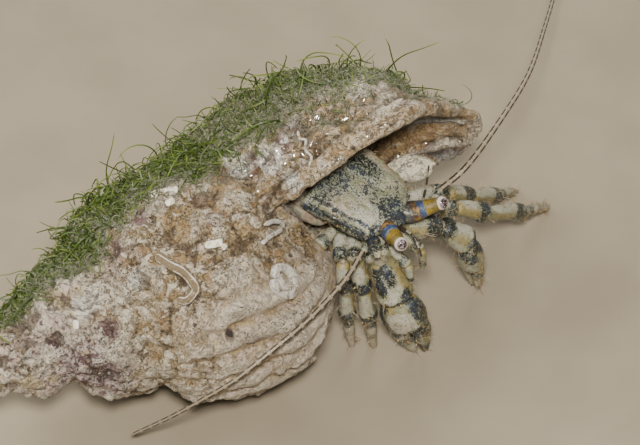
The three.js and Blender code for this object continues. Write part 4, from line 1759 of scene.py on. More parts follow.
@dataclass(frozen=True)
class PlateFinish:
    """Crab's plate: pale green-grey, broken by blue-black speckle with pale dots, amber at its edges."""
    cream: Colour = rgb(0.36, 0.34, 0.24)
    sage: Colour = rgb(0.23, 0.245, 0.155)
    slate: Colour = rgb(0.15, 0.19, 0.18)
    pink: Colour = rgb(0.44, 0.34, 0.30)
    pearl: Colour = rgb(0.50, 0.50, 0.45)
    amber: Colour = rgb(0.28, 0.20, 0.050)
    olive: Colour = rgb(0.15, 0.14, 0.050)
    navy: Colour = rgb(0.011, 0.018, 0.038)
    black: Colour = rgb(0.009, 0.011, 0.010)
    steel: Colour = rgb(0.055, 0.085, 0.115)
    dots: Colour = rgb(0.42, 0.47, 0.27)
    silt: Colour = rgb(0.36, 0.30, 0.21)

    def material(self) -> bpy.types.Material:
        """Build the material.

        Returns:
            The material, ready for a slot.
        """
        m = Paint("speckled_plate")
        at = m.place()
        broad, patch = m.noise(at, 0.8, 4, 0.6), m.noise(at, 2.4, 5, 0.62)
        grit, fine = m.noise(at, 7.0, 4, 0.6), m.noise(at, 14.0, 3, 0.6)
        dark, amber = m.value("dark"), m.value("amber")
        pale, pinkish, silt = m.value("pale"), m.value("pinkish"), m.value("silt")
        colour = m.blend(m.smooth(patch, 0.38, 0.58), self.sage, self.cream)
        colour = m.blend(pinkish * m.smooth(patch, 0.35, 0.6), colour, self.pink)
        colour = m.blend(pale * m.smooth(grit, 0.35, 0.55), colour, self.pearl)
        edged = m.smooth(amber + (patch - 0.5) * 1.2, 0.12, 0.62)
        colour = m.blend(edged * 0.85, colour, m.blend(m.smooth(broad, 0.44, 0.56), self.amber, self.olive))
        colour = m.blend(m.smooth(patch + (broad - 0.5) * 0.8, 0.42, 0.28) * 0.6, colour, self.olive)
        # speckle along a net of fine lines, which thickens into solid black where a band is strongest
        net = m.smooth(m.cells(at, 3.4, "DISTANCE_TO_EDGE"), 0.20, 0.02)
        spots = ((dark - 0.64) * 0.66 + (grit - 0.5) * 2.0 + (fine - 0.5) * 1.5 + (patch - 0.5) * 1.5
                 + (net - 0.4) * 0.2)
        speckle = m.smooth(spots, 0.0, 0.09)
        haze = m.smooth(dark + (patch - 0.5) * 1.4, 0.25, 1.0)
        colour = m.blend(haze * 0.45, colour, self.slate)
        ink = m.blend(m.smooth(broad + (grit - 0.5) * 0.5, 0.50, 0.62), self.black, self.navy)
        ink = m.blend(m.smooth(fine, 0.55, 0.66) * m.smooth(broad, 0.46, 0.56) * 0.5, ink, self.steel)
        colour = m.blend(speckle * 0.97, colour, ink)
        dotted = m.smooth(m.cells(at, 3.4), 0.20, 0.12) * m.smooth(m.value("dotted"), 0.3, 0.7)
        colour = m.blend(dotted * 0.9, colour, self.dots)
        dusty = m.smooth(silt + (grit - 0.5) * 1.2 + (broad - 0.5) * 0.8, 0.35, 0.8)
        colour = m.blend(dusty * 0.8, colour, self.silt)
        roughness = 0.40 + (grit - 0.5) * 0.3 + dusty * 0.42
        relief = m.smooth(m.cells(at, 5.0), 0.5, 0.1) * 0.4 + grit * 0.6 + fine * 0.2 + dusty * 0.3
        return m.finish(colour, roughness, m.bump(relief, 0.07, 0.7), Specular_IOR_Level=0.5)


@dataclass(frozen=True)
class SoftSkinFinish:
    """Bare skin: thin, flesh-coloured, mottled with grey-green and plum, finely speckled and wrinkled."""
    flesh: Colour = rgb(0.25, 0.195, 0.125)
    pale: Colour = rgb(0.31, 0.28, 0.20)
    sage: Colour = rgb(0.20, 0.22, 0.15)
    plum: Colour = rgb(0.19, 0.10, 0.085)
    dull: Colour = rgb(0.12, 0.105, 0.075)
    ink: Colour = rgb(0.020, 0.028, 0.034)

    def material(self) -> bpy.types.Material:
        """Build the material.

        Returns:
            The material, ready for a slot.
        """
        m = Paint("soft_skin")
        at = m.place()
        broad, patch = m.noise(at, 0.55, 4, 0.6), m.noise(at, 1.5, 5, 0.62, 0.5)
        fine, speck = m.noise(at, 8.0, 4, 0.6), m.noise(at, 12.0, 3, 0.6)
        colour = m.blend(m.smooth(patch, 0.38, 0.62), self.flesh, self.pale)
        colour = m.blend(m.smooth(broad, 0.46, 0.60) * 0.7, colour, self.sage)
        colour = m.blend(m.smooth(patch + (broad - 0.5) * 0.6, 0.46, 0.36) * 0.5, colour, self.plum)
        veins = m.smooth((m.noise(at, 1.1, 5, 0.6, 1.2) - 0.5).math("ABSOLUTE"), 0.022, 0.006)
        colour = m.blend(veins * 0.55, colour, self.plum)
        colour = m.blend(m.smooth(fine, 0.45, 0.30) * 0.6, colour, self.dull)
        dotted = m.smooth(speck + (broad - 0.5) * 0.8 + (patch - 0.5) * 0.4, 0.60, 0.68)
        colour = m.blend(dotted * 0.8, colour, self.ink)
        relief = fine * 0.5 + patch * 0.5 - veins * 0.2
        return m.finish(colour, 0.48 + (fine - 0.5) * 0.3, m.bump(relief, 0.12, 0.8))


@dataclass(frozen=True)
class EyestalkFinish:
    """Rings of amber, blue and amber again, over a pale foot."""
    foot: Colour = rgb(0.34, 0.33, 0.27)
    amber: Colour = rgb(0.32, 0.165, 0.025)
    gold: Colour = rgb(0.27, 0.185, 0.012)
    blue: Colour = rgb(0.018, 0.050, 0.17)
    sky: Colour = rgb(0.060, 0.13, 0.27)
    lilac: Colour = rgb(0.25, 0.23, 0.40)
    brown: Colour = rgb(0.15, 0.105, 0.016)
    olive: Colour = rgb(0.13, 0.115, 0.035)
    ink: Colour = rgb(0.014, 0.018, 0.035)

    def material(self) -> bpy.types.Material:
        """Build the material.

        Returns:
            The material, ready for a slot.
        """
        m = Paint("eyestalk")
        at = m.place()
        fine, patch = m.noise(at, 14.0, 4, 0.65), m.noise(at, 3.4, 4, 0.6)
        part = m.value("part") + (patch - 0.5) * 0.42 + (fine - 0.5) * 0.16
        low = m.value("low")
        ring = m.blend(m.smooth(patch, 0.4, 0.62), self.blue, self.sky)
        ring = m.blend(m.smooth(fine, 0.52, 0.66) * 0.7, ring, self.lilac)
        outer = m.blend(m.smooth(part, 0.70, 0.95), self.gold, self.brown)
        colour = m.blend(m.smooth(part, 0.02, 0.10), self.foot, self.amber)
        colour = m.blend(m.smooth(part, 0.30, 0.36), colour, ring)
        colour = m.blend(m.smooth(part, 0.56, 0.62), colour, outer)
        colour = m.blend(m.smooth(part, 0.54, 0.57) * m.smooth(part, 0.63, 0.59) * 0.45, colour, self.foot)
        colour = m.blend(m.smooth(fine, 0.56, 0.66) * m.smooth(patch, 0.5, 0.6) * 0.55, colour, self.foot)
        colour = m.blend(low * m.smooth(part, 0.0, 0.3) * 0.85, colour, self.olive)
        inked = m.smooth(patch * 0.6 + fine * 0.6 - part * 0.16, 0.515, 0.565)
        colour = m.blend(inked * 0.85, colour, self.ink)
        colour = m.blend(m.smooth(fine + (patch - 0.5) * 0.5, 0.47, 0.33) * 0.7, colour, self.brown)
        return m.finish(colour, 0.42 + (fine - 0.5) * 0.3, m.bump(fine, 0.05, 0.6))


@dataclass(frozen=True)
class CorneaFinish:
    """A clouded white rim round a rosy pupil full of plum and black spots, under many tiny facets."""
    rim: Colour = rgb(0.64, 0.57, 0.48)
    rosy: Colour = rgb(0.36, 0.28, 0.29)
    plum: Colour = rgb(0.055, 0.024, 0.034)
    black: Colour = rgb(0.012, 0.010, 0.014)
    under: Colour = rgb(0.14, 0.09, 0.045)

    def material(self) -> bpy.types.Material:
        """Build the material.

        Returns:
            The material, ready for a slot.
        """
        m = Paint("cornea")
        at = m.place()
        fine = m.noise(at, 12.0, 3, 0.6)
        spots = m.noise(at, 8.0, 3, 0.6)
        facing = m.value("facing") + (fine - 0.5) * 0.05
        centre = m.blend(m.smooth(spots, 0.41, 0.48), self.rosy, self.plum)
        centre = m.blend(m.smooth(spots, 0.48, 0.54), centre, self.black)
        colour = m.blend(m.smooth(facing, 0.69, 0.76), self.rim, centre)
        colour = m.blend(m.smooth(facing, 0.61, 0.66) * m.smooth(facing, 0.76, 0.70) * 0.7, colour,
                         self.plum)
        colour = m.blend(m.smooth(facing, 0.30, 0.12) * m.smooth(facing, -0.2, 0.05) * 0.7, colour,
                         self.plum)
        colour = m.blend(m.smooth(facing, 0.12, -0.25), colour, self.under)
        facets = m.cells(at, 26.0, "DISTANCE_TO_EDGE")
        return m.finish(colour, 0.12, m.bump(m.smooth(facets, 0.0, 0.25), 0.006, 0.5), Coat_Weight=0.6,
                        Coat_Roughness=0.06)


@dataclass(frozen=True)
class FeelerFinish:
    """Clear straw-coloured feelers with brown dashes down both sides, or with bands right round."""
    name: str
    straw: Colour = rgb(0.32, 0.27, 0.19)
    dash: Colour = rgb(0.020, 0.012, 0.008)
    dash_length: float = 0.95
    filled: float = 0.74
    banded: bool = False

    def material(self) -> bpy.types.Material:
        """Build the material.

        Returns:
            The material, ready for a slot.
        """
        m = Paint(self.name)
        fine = m.noise(m.place(), 9.0, 3, 0.6)
        run = m.value("run") / self.dash_length + (fine - 0.5) * 0.12
        phase = run.math("FRACT")
        marked = m.smooth(phase, 0.0, 0.05) * m.smooth(phase, self.filled + 0.05, self.filled)
        if not self.banded:
            side = (m.value("around") * TAU).math("COSINE").math("ABSOLUTE")
            marked = marked * m.smooth(side, 0.36, 0.50)
        joints = (m.value("run") * (TAU / 0.24)).math("SINE")
        colour = m.blend(m.smooth(fine, 0.62, 0.38) * 0.5, self.straw, m.blend(0.5, self.straw, self.dash))
        colour = m.blend(m.smooth(joints, -0.7, -1.0) * 0.35, colour, self.dash)
        colour = m.blend(marked * 0.92, colour, self.dash)
        return m.finish(colour, 0.38 + (fine - 0.5) * 0.2, m.bump(joints * 0.5 + 0.5, 0.02, 0.5))


@dataclass(frozen=True)
class StrandFinish:
    """Weed, turf or bristle: darker at the root, its own shade in every tuft."""
    name: str
    root: Colour
    leaf: Colour
    tip: Colour
    dust: Colour
    dusty: float = 0.3

    def material(self) -> bpy.types.Material:
        """Build the material.

        Returns:
            The material, ready for a slot.
        """
        m = Paint(self.name)
        grit = m.noise(m.place(), 6.0, 4, 0.6)
        up, shade = m.value("up"), m.value("shade")
        colour = m.blend(m.smooth(up, 0.0, 0.45), self.root, self.leaf)
        colour = m.blend(m.smooth(up + shade * 0.5, 0.75, 1.3), colour, self.tip)
        dusted = m.smooth(shade + (grit - 0.5) * 0.8, 1.0 - self.dusty, 1.25 - self.dusty)
        colour = m.blend(dusted * 0.85, colour, self.dust)
        return m.finish(colour, 0.5 + (grit - 0.5) * 0.4, m.bump(grit, 0.03, 0.4))


# ---------------------------------------------------------------- the crab


class Side(Enum):
    """The crab's own sides."""
    RIGHT = "right"
    LEFT = "left"


@dataclass(frozen=True)
class Stance:
    """The crab's own frame: x forward, y to its left, z up, from its rostrum's tip."""
    origin: Point = (9.342, -10.065, 12.3)
    heading: float = -34.0
    nose_down: float = 14.0
    roll: float = 4.0

    def level(self) -> np.ndarray:
        """Forward, left and up, as rows.

        Returns:
            Three unit vectors, one a row.
        """
        turn = math.radians(self.heading)
        ahead = np.array([math.cos(turn), math.sin(turn), 0.0])
        return np.stack([ahead, np.array([-ahead[1], ahead[0], 0.0]), np.array([0.0, 0.0, 1.0])])

    def tilt(self) -> np.ndarray:
        """How the body leans in that frame.

        Returns:
            A matrix that turns a column.
        """
        roll, nose = math.radians(self.roll), math.radians(self.nose_down)
        about_x = np.array([[1, 0, 0], [0, math.cos(roll), -math.sin(roll)],
                            [0, math.sin(roll), math.cos(roll)]])
        about_y = np.array([[math.cos(nose), 0, math.sin(nose)], [0, 1, 0],
                            [-math.sin(nose), 0, math.cos(nose)]])
        return about_y @ about_x

    def vector(self, own: Sequence[float]) -> np.ndarray:
        """A direction in the level frame, in the world's."""
        return np.asarray(own, float) @ self.level()

    def point(self, own: Sequence[float]) -> np.ndarray:
        """Places in the level frame, in the world's."""
        return self.vector(own) + np.array(self.origin)

    def on_body(self, own: np.ndarray) -> np.ndarray:
        """Places on the leaning body, in the world's frame."""
        return self.point(np.asarray(own) @ self.tilt().T)

    def facing(self, yaw: float, pitch: float) -> np.ndarray:
        """A direction: yaw to the crab's left, pitch up, in degrees.

        Args:
            yaw: To the crab's left, in degrees.
            pitch: Up, in degrees.

        Returns:
            A unit vector in the world's frame.
        """
        turn, climb = math.radians(yaw), math.radians(pitch)
        return self.vector((math.cos(climb) * math.cos(turn), math.cos(climb) * math.sin(turn),
                            math.sin(climb)))

    def outward(self, side: Side) -> np.ndarray:
        """Where the outer face of a limb looks."""
        return self.vector((0.25, -1.0, 1.0) if side is Side.RIGHT else (0.1, 1.0, 1.2))


def across(direction: np.ndarray, lean: np.ndarray) -> Tuple[np.ndarray, np.ndarray]:
    """Two axes across a direction, the first leaning towards the given one.

    Args:
        direction: A unit vector.
        lean: Which way the first axis leans.

    Returns:
        Two unit vectors.
    """
    high = lean - lean.dot(direction) * direction
    high = high / np.linalg.norm(high)
    return high, np.cross(direction, high)


@dataclass(frozen=True)
class Marks:
    """How a plate is marked: dark bands as (place, half width, strength) along it, and blots on one side
    as (place, turn from the outer face, half length, half turn)."""
    dark: Tuple[Tuple[float, float, float], ...] = ((0.30, 0.22, 0.8), (0.86, 0.16, 0.9))
    amber: float = 0.5
    pale: float = 0.3
    pinkish: float = 0.0
    silt: float = 0.25
    hair: float = 0.5
    blots: Tuple[Tuple[float, float, float, float], ...] = ()


@dataclass(frozen=True)
class Segment:
    """One plate of a limb: length, yaw, pitch, width and depth, its outline and its marks."""
    name: str
    size: Tuple[float, float, float, float, float]
    outline: str
    marks: Marks = Marks()
    bend: float = 0.0


OUTLINES: Dict[str, Tuple[Tuple[float, float], ...]] = {
    "coxa": ((-0.04, 0.55), (0.12, 0.86), (0.55, 0.98), (0.88, 1.0), (1.02, 0.66)),
    "link": ((-0.05, 0.5), (0.08, 0.78), (0.5, 0.92), (0.85, 1.06), (1.03, 0.72)),
    "hand": ((-0.05, 0.4), (0.1, 0.74), (0.4, 1.0), (0.75, 1.0), (1.0, 0.84)),
    "toe": ((-0.05, 0.55), (0.1, 0.92), (0.45, 0.86), (0.8, 0.66), (1.03, 0.5)),
    "claw_tip": ((-0.05, 0.55), (0.15, 0.98), (0.45, 0.86), (0.8, 0.55), (1.03, 0.2)),
}


@dataclass
class Limb:
    """A chain of plates from a root on the body."""
    name: str
    side: Side
    root: Point
    segments: List[Segment]
    tile: int
    stance: Stance = field(default_factory=Stance)
    rings: int = 52
    sides: int = 34
    rounding: float = 0.25
    keel: float = 0.07

    def joints(self) -> List[Tuple[np.ndarray, np.ndarray]]:
        """Where each plate starts, and which way it goes.

        Returns:
            For each plate its start and its unit direction.
        """
        start = self.stance.point(self.root)
        found = []
        for segment in self.segments:
            length, yaw, pitch = segment.size[:3]
            direction = self.stance.facing(yaw, pitch)
            found.append((start, direction))
            start = start + direction * length
        return found

    def tube(self, start: np.ndarray, direction: np.ndarray, size: Sequence[float], outline: str,
             bend: float = 0.0) -> Form:
        """A plate's smooth tube, rounded over at both ends.

        Args:
            start: Where it starts.
            direction: Which way it goes.
            size: Length, then two unused angles, width and depth.
            outline: Its outline's name.
            bend: How far its middle bows outwards, as a share of its length.

        Returns:
            The tube.
        """
        length, _, _, width, depth = size
        high, wide = across(direction, self.stance.outward(self.side))
        places = np.array(OUTLINES[outline])
        run = np.linspace(0.0, len(places) - 1.0, self.rings)
        part, fill = catmull(places, run).T
        to_end = np.minimum((part - part[0]) * length, (part[-1] - part) * length)
        near_end = np.clip(to_end / (self.rounding * width), 0.0, 1.0)
        fill = fill * np.sqrt(np.clip(1 - (1 - near_end) ** 2, 0.004, 1.0))
        turn = full_turn(self.sides)
        up = np.cos(turn) * (1 + self.keel * hump(off_zero(turn), 0.0, 0.6)) * depth / 2
        out = signed_power(np.sin(turn), 0.9) * width / 2
        centre = start + direction * (part * length)[:, None]
        centre = centre + high * (np.sin(np.pi * part) * bend * length)[:, None]
        ring = high * (fill[:, None] * up)[..., None] + wide * (fill[:, None] * out)[..., None]
        return rings_form(centre[:, None] + ring).outward()

    def darkened(self, points: np.ndarray, part: np.ndarray, turn: np.ndarray, marks: Marks,
                 number: int) -> np.ndarray:
        """How dark a plate's bands and blots make each of its points.

        Args:
            points: The points, one a row.
            part: How far along the plate each lies.
            turn: Which way round it each lies.
            marks: The plate's marks.
            number: Which plate of the limb it is.

        Returns:
            One value for each point.
        """
        wander = rough_noise(points, 1.1, 3, 50 + self.tile + number) * 0.10
        dark = np.zeros(len(part))
        for middle, half, strength in marks.dark:
            band = step(np.abs(part + wander - middle), half * 1.6, half * 0.5)
            dark = np.maximum(dark, band * strength * 1.15)
        for middle, aside, half, half_turn in marks.blots:
            far = np.hypot((part + wander - middle) / half, (turn - aside) / half_turn)
            dark = np.maximum(dark, step(far, 1.45, 0.6) * 1.3)
        return dark

    def marked(self, form: Form, start: np.ndarray, direction: np.ndarray, length: float, marks: Marks,
               number: int, spiky: float = 1.0) -> Form:
        """A plate with its granules, and what its finish and its bristles read.

        Args:
            form: The smooth plate.
            start: Where its marks start.
            direction: Which way they run.
            length: How far.
            marks: The marks.
            number: Which plate of the limb it is.
            spiky: How strong its granules are.

        Returns:
            The plate.
        """
        high, wide = across(direction, self.stance.outward(self.side))
        own = form.points - start
        part = own @ direction / length
        turn = np.arctan2(own @ wide, own @ high)
        top = 0.5 + 0.5 * np.cos(turn)
        dark = self.darkened(form.points, part, turn, marks, number) * (0.6 + 0.4 * top)
        granules = step(cell_distance(form.points, 3.0, 60 + number), 0.36, 0.10) * step(part, -0.05, 0.2)
        grain = rough_noise(form.points, 1.8, 3, 70 + number)
        relief = granules * 0.025 * (0.3 + 0.7 * top) * spiky + grain * 0.03
        pushed = form.pushed(relief * step(part, 1.1, 0.9))
        edges = np.maximum(step(part, 0.16, 0.0), step(part, 0.84, 1.0))
        flanks = hump(np.abs(turn), 1.6, 1.2)
        ridged = 0.35 + 0.65 * step(np.sin(turn * 3.0 + part * 9.0), -0.2, 0.6)
        lie = direction * 0.75 + (high * np.cos(turn)[:, None] + wide * np.sin(turn)[:, None]) * 0.6
        flat = np.zeros(len(part))
        pushed.values = {
            "dark": dark, "amber": np.clip(marks.amber * (edges * 0.9 + flanks * 1.5), 0, 1),
            "pale": marks.pale * step(dark, 0.5, 0.1) * (0.4 + 0.6 * top),
            "pinkish": marks.pinkish * hump(part, 0.22, 0.25) * top, "dotted": flat,
            "silt": np.clip(marks.silt * (0.6 + 0.8 * part), 0, 1),
            "growth": marks.hair * ridged * step(part, 0.02, 0.2),
            "spines": spiky * hump(np.abs(turn), 0.25, 0.55) * step(part, 0.1, 0.3),
            "lie": lie / np.linalg.norm(lie, axis=1)[:, None],
            "root_uv": np.stack([*self.unwrapped(part, turn, number), flat], axis=-1),
        }
        return pushed

    def unwrapped(self, part: np.ndarray, turn: np.ndarray, number: int) -> Tuple[np.ndarray, np.ndarray]:
        """Each point's place on the map, in its own strip of the limb's tile.

        Args:
            part: How far along the plate it lies.
            turn: Which way round it lies.
            number: Which plate of the limb it is.

        Returns:
            The place across and up the map.
        """
        row, column = divmod(self.tile, TILES[0])
        strip = column * PLATES_IN_TILE + number
        u = (strip + np.clip(part, 0, 1) * TILE_FILL + TILE_MARGIN) / (TILES[0] * PLATES_IN_TILE)
        v = (row + (turn / TAU + 0.5) * TILE_FILL + TILE_MARGIN) / TILES[1]
        return u, v

    def plate(self, number: int) -> Form:
        """One plate of the limb, by its number.

        Args:
            number: Which plate, counted from the body.

        Returns:
            The plate, marked for its finish.
        """
        start, direction = self.joints()[number]
        segment = self.segments[number]
        tube = self.tube(start, direction, segment.size, segment.outline, segment.bend)
        return self.marked(tube, start, direction, segment.size[0], segment.marks, number)

    def sleeves(self) -> Form:
        """The soft skin that shows in each joint.

        Returns:
            One small form at every joint, together.
        """
        made = []
        for number, (start, direction) in enumerate(self.joints()):
            size = self.segments[number].size
            length = 0.5 * size[3]
            short = (length, 0.0, 0.0, size[3] * 0.42, size[4] * 0.42)
            made.append(self.tube(start - direction * length * 0.5, direction, short, "coxa"))
        return Form.joined(made)


@dataclass
class Claw(Limb):
    """A limb that ends in a palm with a fixed finger, and a finger that closes on it."""

    def digit(self, fixed: bool) -> Tuple[np.ndarray, np.ndarray, Tuple[float, ...]]:
        """Where a finger starts, which way it goes and its size.

        Args:
            fixed: Whether it is the finger that belongs to the palm.

        Returns:
            Its start, its unit direction and its size.
        """
        palm, finger = self.segments[2].size, self.segments[3].size
        start, direction = self.joints()[2]
        _, wide = across(direction, self.stance.outward(self.side))
        sideways = -0.27 if fixed else 0.27
        tipward = direction * finger[0] - wide * sideways * palm[3] * 0.6
        length = float(np.linalg.norm(tipward))
        root = start + direction * palm[0] * 0.9 + wide * sideways * palm[3]
        return root, tipward / length, (length, 0.0, 0.0, palm[3] * 0.46, palm[4] * 0.54)

    def chela(self, fixed: bool) -> Form:
        """The palm with its fixed finger, or the finger that moves.

        Args:
            fixed: Whether to make the palm with its fixed finger.

        Returns:
            The form, marked for its finish.
        """
        start, direction = self.joints()[2]
        palm, marks = self.segments[2], self.segments[2 if fixed else 3].marks
        root, tipward, size = self.digit(fixed)
        finger = self.tube(root, tipward, size, "claw_tip")
        if not fixed:
            return self.marked(finger, root, tipward, size[0], marks, 3)
        whole = Form.joined([self.tube(start, direction, palm.size, "hand"), finger]).fused(0.085, 3)
        return self.marked(whole, start, direction, palm.size[0] + size[0] * 0.95, marks, 2)


@dataclass
class Carapace:
    """The shield over the front of the body, and the soft skin behind and under it."""
    stance: Stance = field(default_factory=Stance)
    middle: float = 0.1
    length: float = 6.6
    front_width: float = 4.9
    width: float = 6.4
    thickness: float = 1.6
    arch: float = 0.45
    flap_place: Point = (-6.2, -2.15, -2.1)
    flap_size: Point = (1.9, 1.05, 0.85)
    rings: int = 110
    sides: int = 120

    # Patches of dark speckle on the shield: place forward and left, half sizes, strength.
    BLOTCHES = (
        (-4.6, 1.5, 1.5, 1.1, 0.92), (-5.3, -0.4, 1.1, 1.4, 0.80), (-5.6, -2.0, 1.0, 1.0, 0.72),
        (-3.0, 0.35, 0.9, 0.75, 0.62), (-1.2, 0.1, 1.0, 1.0, 0.95), (-0.4, 0.0, 0.7, 0.6, 1.25),
        (-3.9, -0.2, 1.0, 0.7, 0.48), (-1.7, 1.3, 0.7, 0.7, 0.55), (-6.1, 0.6, 0.9, 1.4, 0.62),
        (-1.0, -1.8, 0.6, 0.55, 0.95), (-2.2, -0.2, 0.8, 0.7, 0.55), (-2.9, -1.2, 0.6, 0.5, 0.35),
    )

    def shield(self) -> Form:
        """The shield, a little domed, with a lifted rim, shallow grooves and beaded edges.

        Returns:
            The shield, marked for its finish.
        """
        stations = np.array([
            [0.12, 0.04, 0.14], [-0.30, 0.26, 0.40], [-0.85, 0.66, 0.72], [-1.65, 0.98, 1.0],
            [-self.length * 0.55, 1.0, 1.05], [-self.length * 0.85, 1.0, 1.0], [-self.length, 0.9, 0.85]])
        run = np.linspace(0.0, len(stations) - 1.0, self.rings)
        x, fill, deep = catmull(stations, run).T
        full = self.front_width + (self.width - self.front_width) * np.clip(-x / self.length * 1.3, 0, 1)
        top = self.arch * np.sin(np.pi * np.clip(-x / self.length, 0, 1))
        ends = np.sqrt(np.clip(np.minimum(run, run[-1] - run) * 2.2 + 0.02, 0, 1))
        turn = full_turn(self.sides)
        wide = signed_power(np.sin(turn), 0.8)[None, :] * (full * fill / 2 * ends)[:, None]
        high = signed_power(np.cos(turn), 0.9)[None, :] * (self.thickness * deep / 2 * ends)[:, None]
        y = self.middle + wide
        z = (top - self.thickness * deep / 2)[:, None] + high
        x = np.repeat(x[:, None], self.sides, axis=1)
        own = np.stack([x, y, z], axis=-1)
        form = rings_form(self.stance.on_body(own), {"own": own}).outward()
        return self.marked(form)

    def carved(self, points: np.ndarray, x: np.ndarray, y: np.ndarray, edge: np.ndarray) -> np.ndarray:
        """How far the shield's grooves, rim, beads and scales stand out.

        Args:
            points: The shield's points.
            x: How far forward each lies.
            y: How far to the left.
            edge: How near to the shield's side, 1 being on it.

        Returns:
            The measure in millimetres.
        """
        groove = hump(x + 2.1 + 0.22 * y ** 2 * 0.35, 0.0, 0.28) * step(np.abs(y), 2.2, 0.9)
        flank = hump(np.abs(y) - 1.15 - 0.12 * x, 0.0, 0.22) * step(x, -6.2, -4.6) * step(x, -1.6, -2.6)
        groove = groove + flank
        ridge = hump(edge, 0.93, 0.09)
        beads = step(cell_distance(points, 2.9, 81), 0.45, 0.10) * (0.25 + 0.75 * step(edge, 0.55, 0.85))
        waves = np.abs(np.sin(x * 6.0 + lattice_noise(points, 0.8, 82) * 1.6)) ** 3
        scales = waves * step(edge, 0.35, 0.75)
        grain = rough_noise(points, 1.1, 4, 83)
        return -groove * 0.11 + ridge * 0.08 + beads * 0.06 + scales * 0.045 + grain * 0.045

    def marked(self, form: Form) -> Form:
        """The shield with its relief, and what its finish reads.

        Args:
            form: The smooth shield.

        Returns:
            The shield with its relief and named values.
        """
        own = form.values["own"]
        x, y = own[:, 0], own[:, 1] - self.middle
        upper = step(own[:, 2], -1.1, -0.6)
        widening = np.clip(-x / self.length * 1.3, 0, 1)
        half = self.front_width / 2 + (self.width - self.front_width) / 2 * widening
        edge = np.clip(np.abs(y) / half, 0, 1.2)
        pushed = form.pushed(self.carved(form.points, x, y, edge) * upper)
        wander = rough_noise(form.points, 0.7, 3, 84) * 0.16
        dark = np.zeros(len(x))
        for at_x, at_y, half_x, half_y, strength in self.BLOTCHES:
            far = np.hypot((x - at_x) / half_x, (y - at_y) / half_y) + wander
            dark = np.maximum(dark, step(far, 1.5, 0.5) * strength)
        stripes = hump(np.abs(y) - half * 0.93 - 0.05, 0.0, 0.34)
        stripes = stripes + 0.9 * hump(np.abs(y) - half * 0.76 + wander, 0.0, 0.26)
        near = step(y, 0.6, -0.6)
        striped = stripes * step(x, -6.6, -5.6) * (0.6 + 0.9 * near + 0.5 * wander) * step(x, 0.2, -0.4)
        beyond = step(y + wander, 2.1, 2.6) * step(x, -5.6, -4.6)
        dark = np.maximum(dark, striped) * (1 - beyond)
        rosy = 0.8 * step(np.hypot((x + 4.1) / 1.3, y + 1.9), 1.2, 0.3)
        flat = np.zeros(len(x))
        unwrap = np.stack([0.02 - x / 7.2, 0.86 + y / 60.0, flat], axis=-1) * np.array([0.96, 1, 1])
        pushed.values = {
            "dark": dark * upper, "amber": 0.45 * hump(edge, 0.9, 0.12) * step(x, -6.0, -4.0),
            "dotted": stripes * near,
            "pale": 0.5 * step(np.hypot(x + 2.3, y + 1.3), 1.6, 0.6) + 0.35 * hump(x, -5.9, 0.6),
            "pinkish": np.maximum(rosy, 0.7 * beyond), "silt": np.full(len(x), 0.06),
            "growth": 0.3 * step(edge, 0.8, 0.95) * upper,
            "spines": 0.35 * step(edge, 0.86, 0.93) * upper,
            "lie": np.tile(self.stance.vector((0.9, 0.0, 0.35)), (len(x), 1)) / math.hypot(0.9, 0.35),
            "root_uv": unwrap,
        }
        return pushed

    def skin(self, sleeves: Sequence[Form]) -> Form:
        """One skin over the thorax, the rear carapace and the abdomen, and in the limbs' joints.

        Args:
            sleeves: The soft skin in the limbs' joints.

        Returns:
            The skin as one form.
        """
        flesh = [self.shrunk(Form.of_mesh(frame["nodes"][name].data, 1 / MM).outward(), 0.10)
                 for name in ("thorax", "rear_carapace", "abdomen")]
        ball = ball_form(24, 32)
        flap = Form(self.stance.on_body(ball.points * np.array(self.flap_size)
                                        + np.array(self.flap_place)), ball.faces)
        fused = Form.joined([*flesh, flap]).fused(0.16, 5)
        folds = rough_noise(fused.points, 0.9, 4, 90) * 0.07
        return Form.joined([fused.pushed(folds - 0.03), *sleeves])

    @staticmethod
    def shrunk(form: Form, by: float) -> Form:
        """A form drawn in all round."""
        return form.pushed(np.full(len(form.points), -by))


